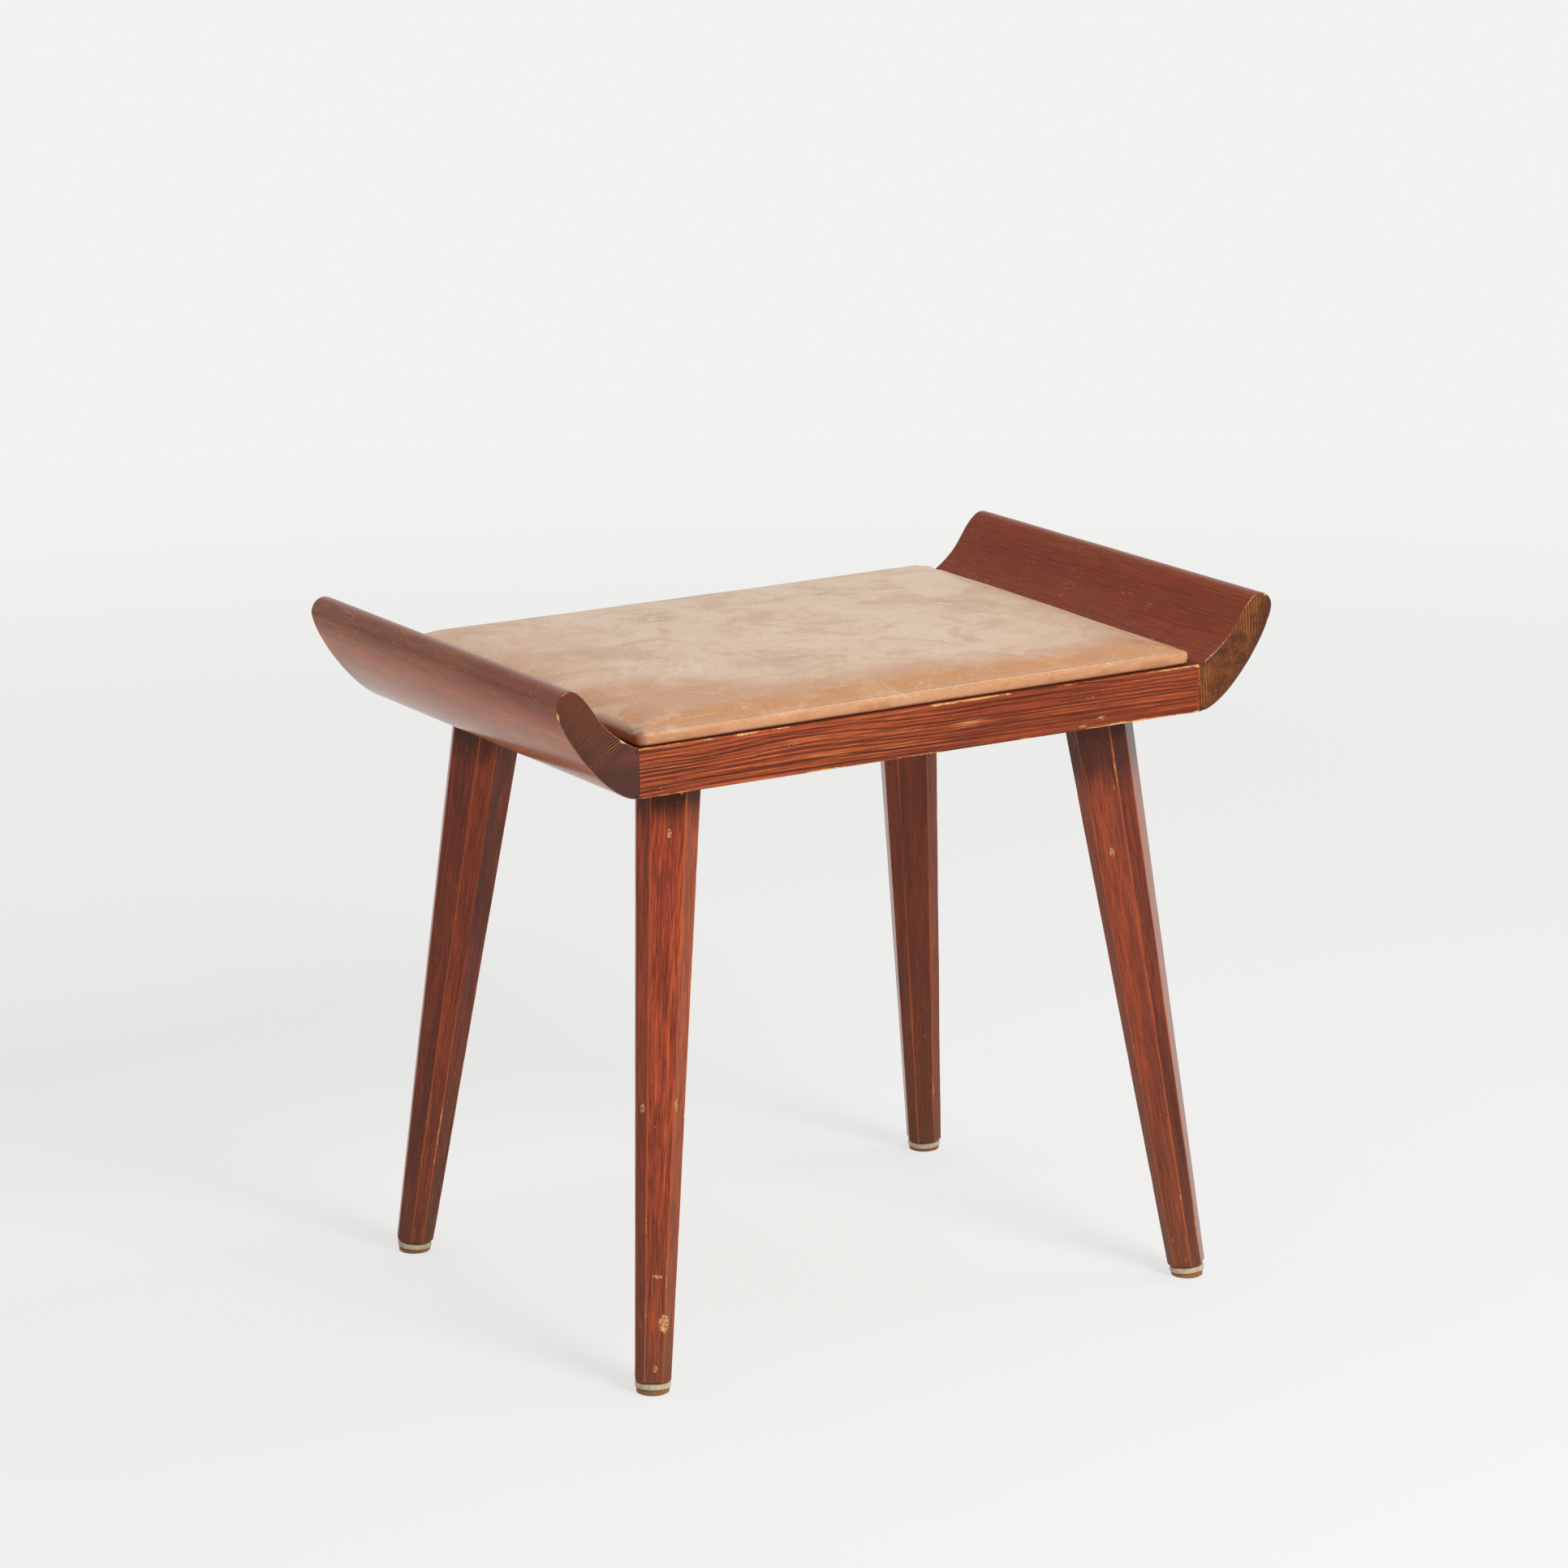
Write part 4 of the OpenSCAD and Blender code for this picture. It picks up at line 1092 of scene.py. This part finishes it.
def felt_material(name):
    s = Surface(name)
    mat = s.noise(1.6, 4, 0.75)
    s.colour = s.mix(mat.step(0.35, 0.65), rgb(108, 66, 38), rgb(176, 124, 74))
    s.lay(s.noise(0.3).step(0.45, 0.7), rgb(150, 100, 58))
    s.lay(s.attr("height").step(0.12, 0) * 0.7, rgb(60, 36, 24))
    fuzz = {"Sheen Weight": 0.3, "Sheen Roughness": 0.5, "Specular IOR Level": 0.2}
    return s.finish(0.95, mat, 0.0004, fuzz)


def plain_wood(name, light, dark, axis, pitch):
    """Bare wood for pieces inside the frame, with its grain along an axis."""
    s = Surface(name)
    stretch = [0.02 if letter == axis else 0.5 for letter in "XYZ"]
    fibres = s.drawn([4 * c for c in stretch], detail=3, roughness=0.6)
    rings = s.drawn([c / pitch for c in stretch], detail=1)
    s.colour = s.mix(s.math("PINGPONG", rings * 9, 0.5).step(0.1, 0.45) * 0.6, light, dark)
    s.shade_by(0.75 + fibres * 0.5)
    return s.finish(0.6 + fibres * 0.2, fibres, 0.0002)


def steel_material(name, colour, roughness):
    """Steel, a little darker in spots."""
    s = Surface(name)
    spots = s.noise(0.6, 4, 0.6)
    s.colour = s.mix(spots.step(0.4, 0.7), colour, tuple(c * 0.72 for c in colour[:3]) + (1,))
    return s.finish(roughness + spots * 0.25, spots, 0.00003, {"Metallic": 1})


def foam_material(name):
    s = Surface(name)
    cell = s.cells(s.field, 0.8)[0]
    s.colour = s.mix(cell.step(0.1, 0.6), rgb(196, 176, 120), rgb(232, 216, 168))
    return s.finish(0.9, cell, 0.0005)


def dress(piece, material):
    """Gives a piece its material; a CAD node takes it in its slots."""
    if not piece.material_slots:
        piece.data.materials.append(material)
    for slot in piece.material_slots:
        slot.material = material


# Pieces and their finishes

FRONT, BACK, LEFT, RIGHT = -1, 1, -1, 1

# A mark is its centre, its half sizes and, where it has one, its turn in degrees
FRONT_MARKS = {
    # Bundles of pale streaks, and chips, on the front face
    "bundles": [
        ((-70, -6.5, 12), (26, 3.2, 6)), ((-18, -5.5, 12), (30, 2.6, 6)), ((32, 0, 12), (24, 6, 6), 2),
    ],
    "chips": [
        ((-103, 4.6, 12), (7, 1.8, 4)), ((137.5, -9.7, 12), (5, 1.6, 4), 4), ((129, 5, 12), (5, 1.2, 4)),
        ((123, -14, 12), (5, 1.4, 4)),
    ],
    # How worn the top and bottom arrises are along the rail
    "top": [
        (-218, 0.85), (-160, 0.8), (-150, 0.35), (-142, 0.9), (-108, 0.9), (-98, 0.5), (0, 0.55), (4, 1),
        (64, 0.95), (70, 0.4), (100, 0.5), (140, 0.85), (150, 0.4), (168, 0.5), (175, 0.85), (218, 0.9),
    ],
    "low": [
        (-218, 0.95), (-182, 0.85), (-172, 0.25), (-95, 0.3), (-90, 0.7), (-70, 0.7), (-60, 0.3), (-28, 0.35),
        (-24, 0.75), (6, 0.75), (12, 0.4), (120, 0.45), (125, 0.85), (155, 0.85), (160, 0.7), (165, 0.9),
        (218, 1),
    ],
}
BACK_MARKS = {
    "bundles": [((60, 4, 12), (34, 4, 6))],
    "chips": [((-40, -8, 12), (6, 1.6, 4))],
    "top": [(-218, 0.8), (-120, 0.5), (-20, 0.75), (90, 0.4), (218, 0.8)],
    "low": [(-218, 0.9), (-150, 0.4), (40, 0.6), (150, 0.4), (218, 0.9)],
}
# The wings' light, red and dark browns, their worn arrises at the front and their clusters of nicks
LEFT_WING = {
    "colours": (rgb(184, 104, 56), rgb(168, 82, 44), rgb(116, 64, 40)),
    "worn": [
        ((-172, 51, 72.5), (7, 7.5, 7.5)), ((-172, 12, 39.5), (3, 13, 5), 22),
        ((-172, 58, 60), (3, 2.5, 9)),
    ],
    "clusters": [
        ((110, 57, 66), (34, 9, 6)), ((-10, 58, 60), (42, 9, 6)), ((-138, 57, 68), (24, 9, 6)),
        ((-130, 49, 76.5), (36, 6, 3)), ((10, 51, 76.5), (150, 7, 2.5)),
    ],
}
RIGHT_WING = {
    "colours": (rgb(140, 62, 32), rgb(140, 56, 30), rgb(84, 40, 27)),
    "worn": [
        ((-172, 51.5, 73.5), (3, 7, 3.5)), ((-172, 57, 48), (2.5, 4, 22)), ((-172, 30, 34), (3, 3, 3)),
    ],
    "clusters": [
        ((-153, 34, 56.5), (9, 14, 5)), ((-131, 20, 42.5), (7, 12, 4)), ((-160, 20, 43), (6, 12, 3.5)),
        ((-70, 12, 38), (18, 12, 5)), ((15, 22, 45), (20, 14, 6)), ((-63, 42, 66), (9, 12, 5)),
        ((-22, 42, 64), (12, 12, 5)), ((-90, 30, 54), (26, 12, 7)), ((60, 50, 72), (60, 8, 5)),
    ],
}
dress(build_rail("front_rail", FRONT), rail_material("rail_front", 2, FRONT_MARKS, True))
dress(build_rail("back_rail", BACK), rail_material("rail_back", 6, BACK_MARKS, False))
dress(build_wing("left_wing", LEFT), wing_material("wing_left", 4, LEFT_WING, True))
dress(build_wing("right_wing", RIGHT), wing_material("wing_right", 8, RIGHT_WING, False))

# Each leg's side, face and turn, then its wood: the rings' centre and pitch, a seed, how bright it is
# in painted shade, and the share of its height where the painted shadow of the frame starts
LEGS = [
    ("front_left_leg", LEFT, FRONT, -28.2, (38, 20), 1.35, 1, 0.98, 0.895),
    ("front_right_leg", RIGHT, FRONT, 44, (-30, 34), 1.5, 3, 0.95, 0.85),
    ("back_left_leg", LEFT, BACK, 21.1, (26, -36), 1.8, 5, 0.75, 0.88),
    ("back_right_leg", RIGHT, BACK, -23.5, (44, 6), 2.2, 7, 0.64, 0.88),
]
# Each leg facet's plain share, its brightness in painted shade and its painted sheen: the four that show,
# from the first of them
OTHER = (0.6, 0.9, 0.2)
SHOWN = {
    "front_left_leg": (3, [(0.9, 0.9, 0.95), (1, 0.92, 0.1), (0.05, 0.98, 0), (0.2, 0.8, 0.5)]),
    "front_right_leg": (2, [(0.8, 0.74, 0.42), (0.7, 0.95, 0.22), (0.85, 0.54, 0.05), (0.6, 0.62, 0.82)]),
    "back_left_leg": (2, [(0.9, 0.9, 0.95), (0.95, 0.9, 0.08), (0.5, 1.06, 0.2), (0.3, 0.58, 0.1)]),
    "back_right_leg": (3, [(0.9, 0.8, 0.95), (0.9, 0.8, 0.25), (0.9, 0.7, 0.24), (0.6, 0.8, 0.42)]),
}
NO_MARKS = {"orange": [], "chips": []}
LEG_MARKS = {
    "front_left_leg": {
        "orange": [((366, -13, -16.5), (15, 8, 8))],
        "chips": [
            ((360, -8.6, -18.6), (3.5, 1.6, 3)), ((387.5, -2.4, -21.8), (2.4, 1.4, 3)),
            ((180, -16.5, -6.1), (5, 2.5, 2.5), 30), ((183, 2, -17.5), (5, 2, 3)),
            ((70, -5.7, -12.3), (1.3, 4.5, 3), 8), ((39, -0.5, -13.5), (7, 4.5, 4.5)),
            ((9, -5, -11.6), (3, 1.6, 3)),
        ],
    },
    "front_right_leg": {
        "orange": [],
        "chips": [((345, -8, -18), (3, 1.5, 3)), ((300, -14, -13), (4, 1.5, 3))],
    },
}
for leg_name, side, face, turn, centre, pitch, seed, depth, shade in LEGS:
    first, shown = SHOWN[leg_name]
    tones = [OTHER] * first + shown + [OTHER] * (LEG_SIDES - first - len(shown))
    marks = LEG_MARKS.get(leg_name, NO_MARKS)
    leg = build_leg(leg_name, side, face, turn, tones)
    dress(leg, leg_material("wood_" + leg_name, seed, centre, pitch, depth, shade, marks))

beige, brown_felt = plastic_material("glide_beige"), felt_material("felt_brown")
for side, x_name in ((LEFT, "left"), (RIGHT, "right")):
    for face, y_name in ((FRONT, "front"), (BACK, "back")):
        dress(build_glide(f"{y_name}_{x_name}_glide", side, face), beige)
        dress(build_felt(f"{y_name}_{x_name}_felt", side, face), brown_felt)

dress(build_pad(), leather_material("leather_tan"))
dress(build_foam(), foam_material("foam_pale"))

zinc = steel_material("zinc", rgb(190, 190, 186), 0.3)
HIDDEN = [
    (plain_wood("pine_sawn", rgb(214, 176, 124), rgb(178, 130, 82), "Y", 1),
     ["left_leg_bearer", "right_leg_bearer"]),
    (plain_wood("beech", rgb(222, 190, 146), rgb(198, 158, 112), "X", 2),
     ["wing_dowels", "bearer_dowels"]),
    (plain_wood("birch_ply", rgb(216, 184, 138), rgb(190, 150, 104), "X", 1.4), ["seat_board"]),
    (zinc, ["leg_bolts", "leg_washers", "leg_nuts", "glide_nails", "seat_screws"]),
    (steel_material("blued", rgb(52, 52, 56), 0.35), ["cover_tacks"]),
]
for material, names in HIDDEN:
    for name in names:
        dress(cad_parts[name], material)

# Floor

FLOOR_COLOUR, BACKDROP_COLOUR = rgb(249, 249, 247), rgb(243, 243, 242)
# The least share of even white, how far the shaded floor reaches in metres, and half the floor's side
FLOOR_EVEN, FLOOR_NEAR, FLOOR_FAR, FLOOR_HALF = 0.7, 1.1, 3.2, 40


def floor_material():
    """Near-white floor: shaded near the object, and an even white for the camera further out."""
    s = Shade(bpy.data.materials.new("floor_white"))
    away = s.get("VectorMath", {0: s.get("TexCoord", {}, "Object")}, "Value", operation="LENGTH")
    matt = s.get("BsdfDiffuse", {"Color": FLOOR_COLOUR})
    even = s.get("Emission", {"Color": BACKDROP_COLOUR, "Strength": 1})
    share = FLOOR_EVEN + away.step(FLOOR_NEAR, FLOOR_FAR) * (1 - FLOOR_EVEN)
    camera = s.get("LightPath", {}, "Is Camera Ray")
    shown = s.get("MixShader", {0: share * camera, 1: matt, 2: even})
    behind, clear = s.get("NewGeometry", {}, "Backfacing"), s.get("BsdfTransparent", {})
    s.add("OutputMaterial", {0: s.get("MixShader", {0: behind, 1: shown, 2: clear})})
    return s.owner


floor_mesh = bpy.data.meshes.new("floor")
corners = [(x * FLOOR_HALF, y * FLOOR_HALF, 0) for x, y in ((-1, -1), (1, -1), (1, 1), (-1, 1))]
floor_mesh.from_pydata(corners, [], [(0, 1, 2, 3)])
floor = bpy.data.objects.new("floor", floor_mesh)
bpy.context.scene.collection.objects.link(floor)
floor.data.materials.append(floor_material())

# Light

def softbox(name, place, aim, width, height, power):
    lamp = bpy.data.lights.new(name, "AREA")
    lamp.shape = "RECTANGLE"
    lamp.size, lamp.size_y, lamp.energy = width, height, power
    box = bpy.data.objects.new(name, lamp)
    bpy.context.scene.collection.objects.link(box)
    box.location = place
    box.rotation_euler = (Vector(aim) - Vector(place)).to_track_quat("-Z", "Y").to_euler()


softbox("key", (0.45, -2.9, 2.15), (0, 0, 0.3), 1.25, 0.9, 74)
softbox("upper", (1.25, -0.35, 2.5), (0, 0, 0.4), 0.6, 0.5, 6)

# The studio is white low behind the object, and less bright overhead and on the camera's side
bpy.context.scene.world = bpy.data.worlds.new("studio")
sky = Shade(bpy.context.scene.world)
path = sky.add("LightPath", {}).outputs
seen = sky.most(Value(sky, path["Is Camera Ray"]), Value(sky, path["Is Transmission Ray"]))
toward = sky.split(sky.get("TexCoord", {}, "Generated"))
sides = {"Value": toward[1], "From Min": -0.7, "From Max": 0.5, "To Min": 0.55, "To Max": 0.96}
ceiling = {"Value": toward[2], "From Min": 0.3, "From Max": 0.62, "To Min": 1, "To Max": 0.56}
room = sky.get("MapRange", sides) * sky.get("MapRange", ceiling)
level = sky.get("Mix", {0: seen, 2: room, 3: 1}, data_type="FLOAT")
sky.add("OutputWorld", {0: sky.get("Background", {"Color": (0.97, 0.97, 0.965, 1), "Strength": level})})

# Camera, solved from the photo: its place and angles are in metres and radians

CAMERA_AT = (-1.85566, -3.06981, 1.24371)
AZIMUTH, ELEVATION, ROLL = -0.54208, 0.2457, -0.01044
lens = bpy.data.cameras.new("camera")
lens.sensor_width, lens.lens = 36, 124.15
camera = bpy.data.objects.new("camera", lens)
bpy.context.scene.collection.objects.link(camera)
away = Vector((
    math.sin(AZIMUTH) * math.cos(ELEVATION),
    -math.cos(AZIMUTH) * math.cos(ELEVATION),
    math.sin(ELEVATION),
))
right = (-away).cross(Vector((0, 0, 1))).normalized()
above = right.cross(-away)
turned_right = right * math.cos(ROLL) + above * math.sin(ROLL)
turned_up = above * math.cos(ROLL) - right * math.sin(ROLL)
turned = Matrix((turned_right, turned_up, away)).transposed().to_4x4()
camera.matrix_world = Matrix.Translation(CAMERA_AT) @ turned
bpy.context.scene.camera = camera
bpy.context.scene.view_settings.view_transform = "Standard"
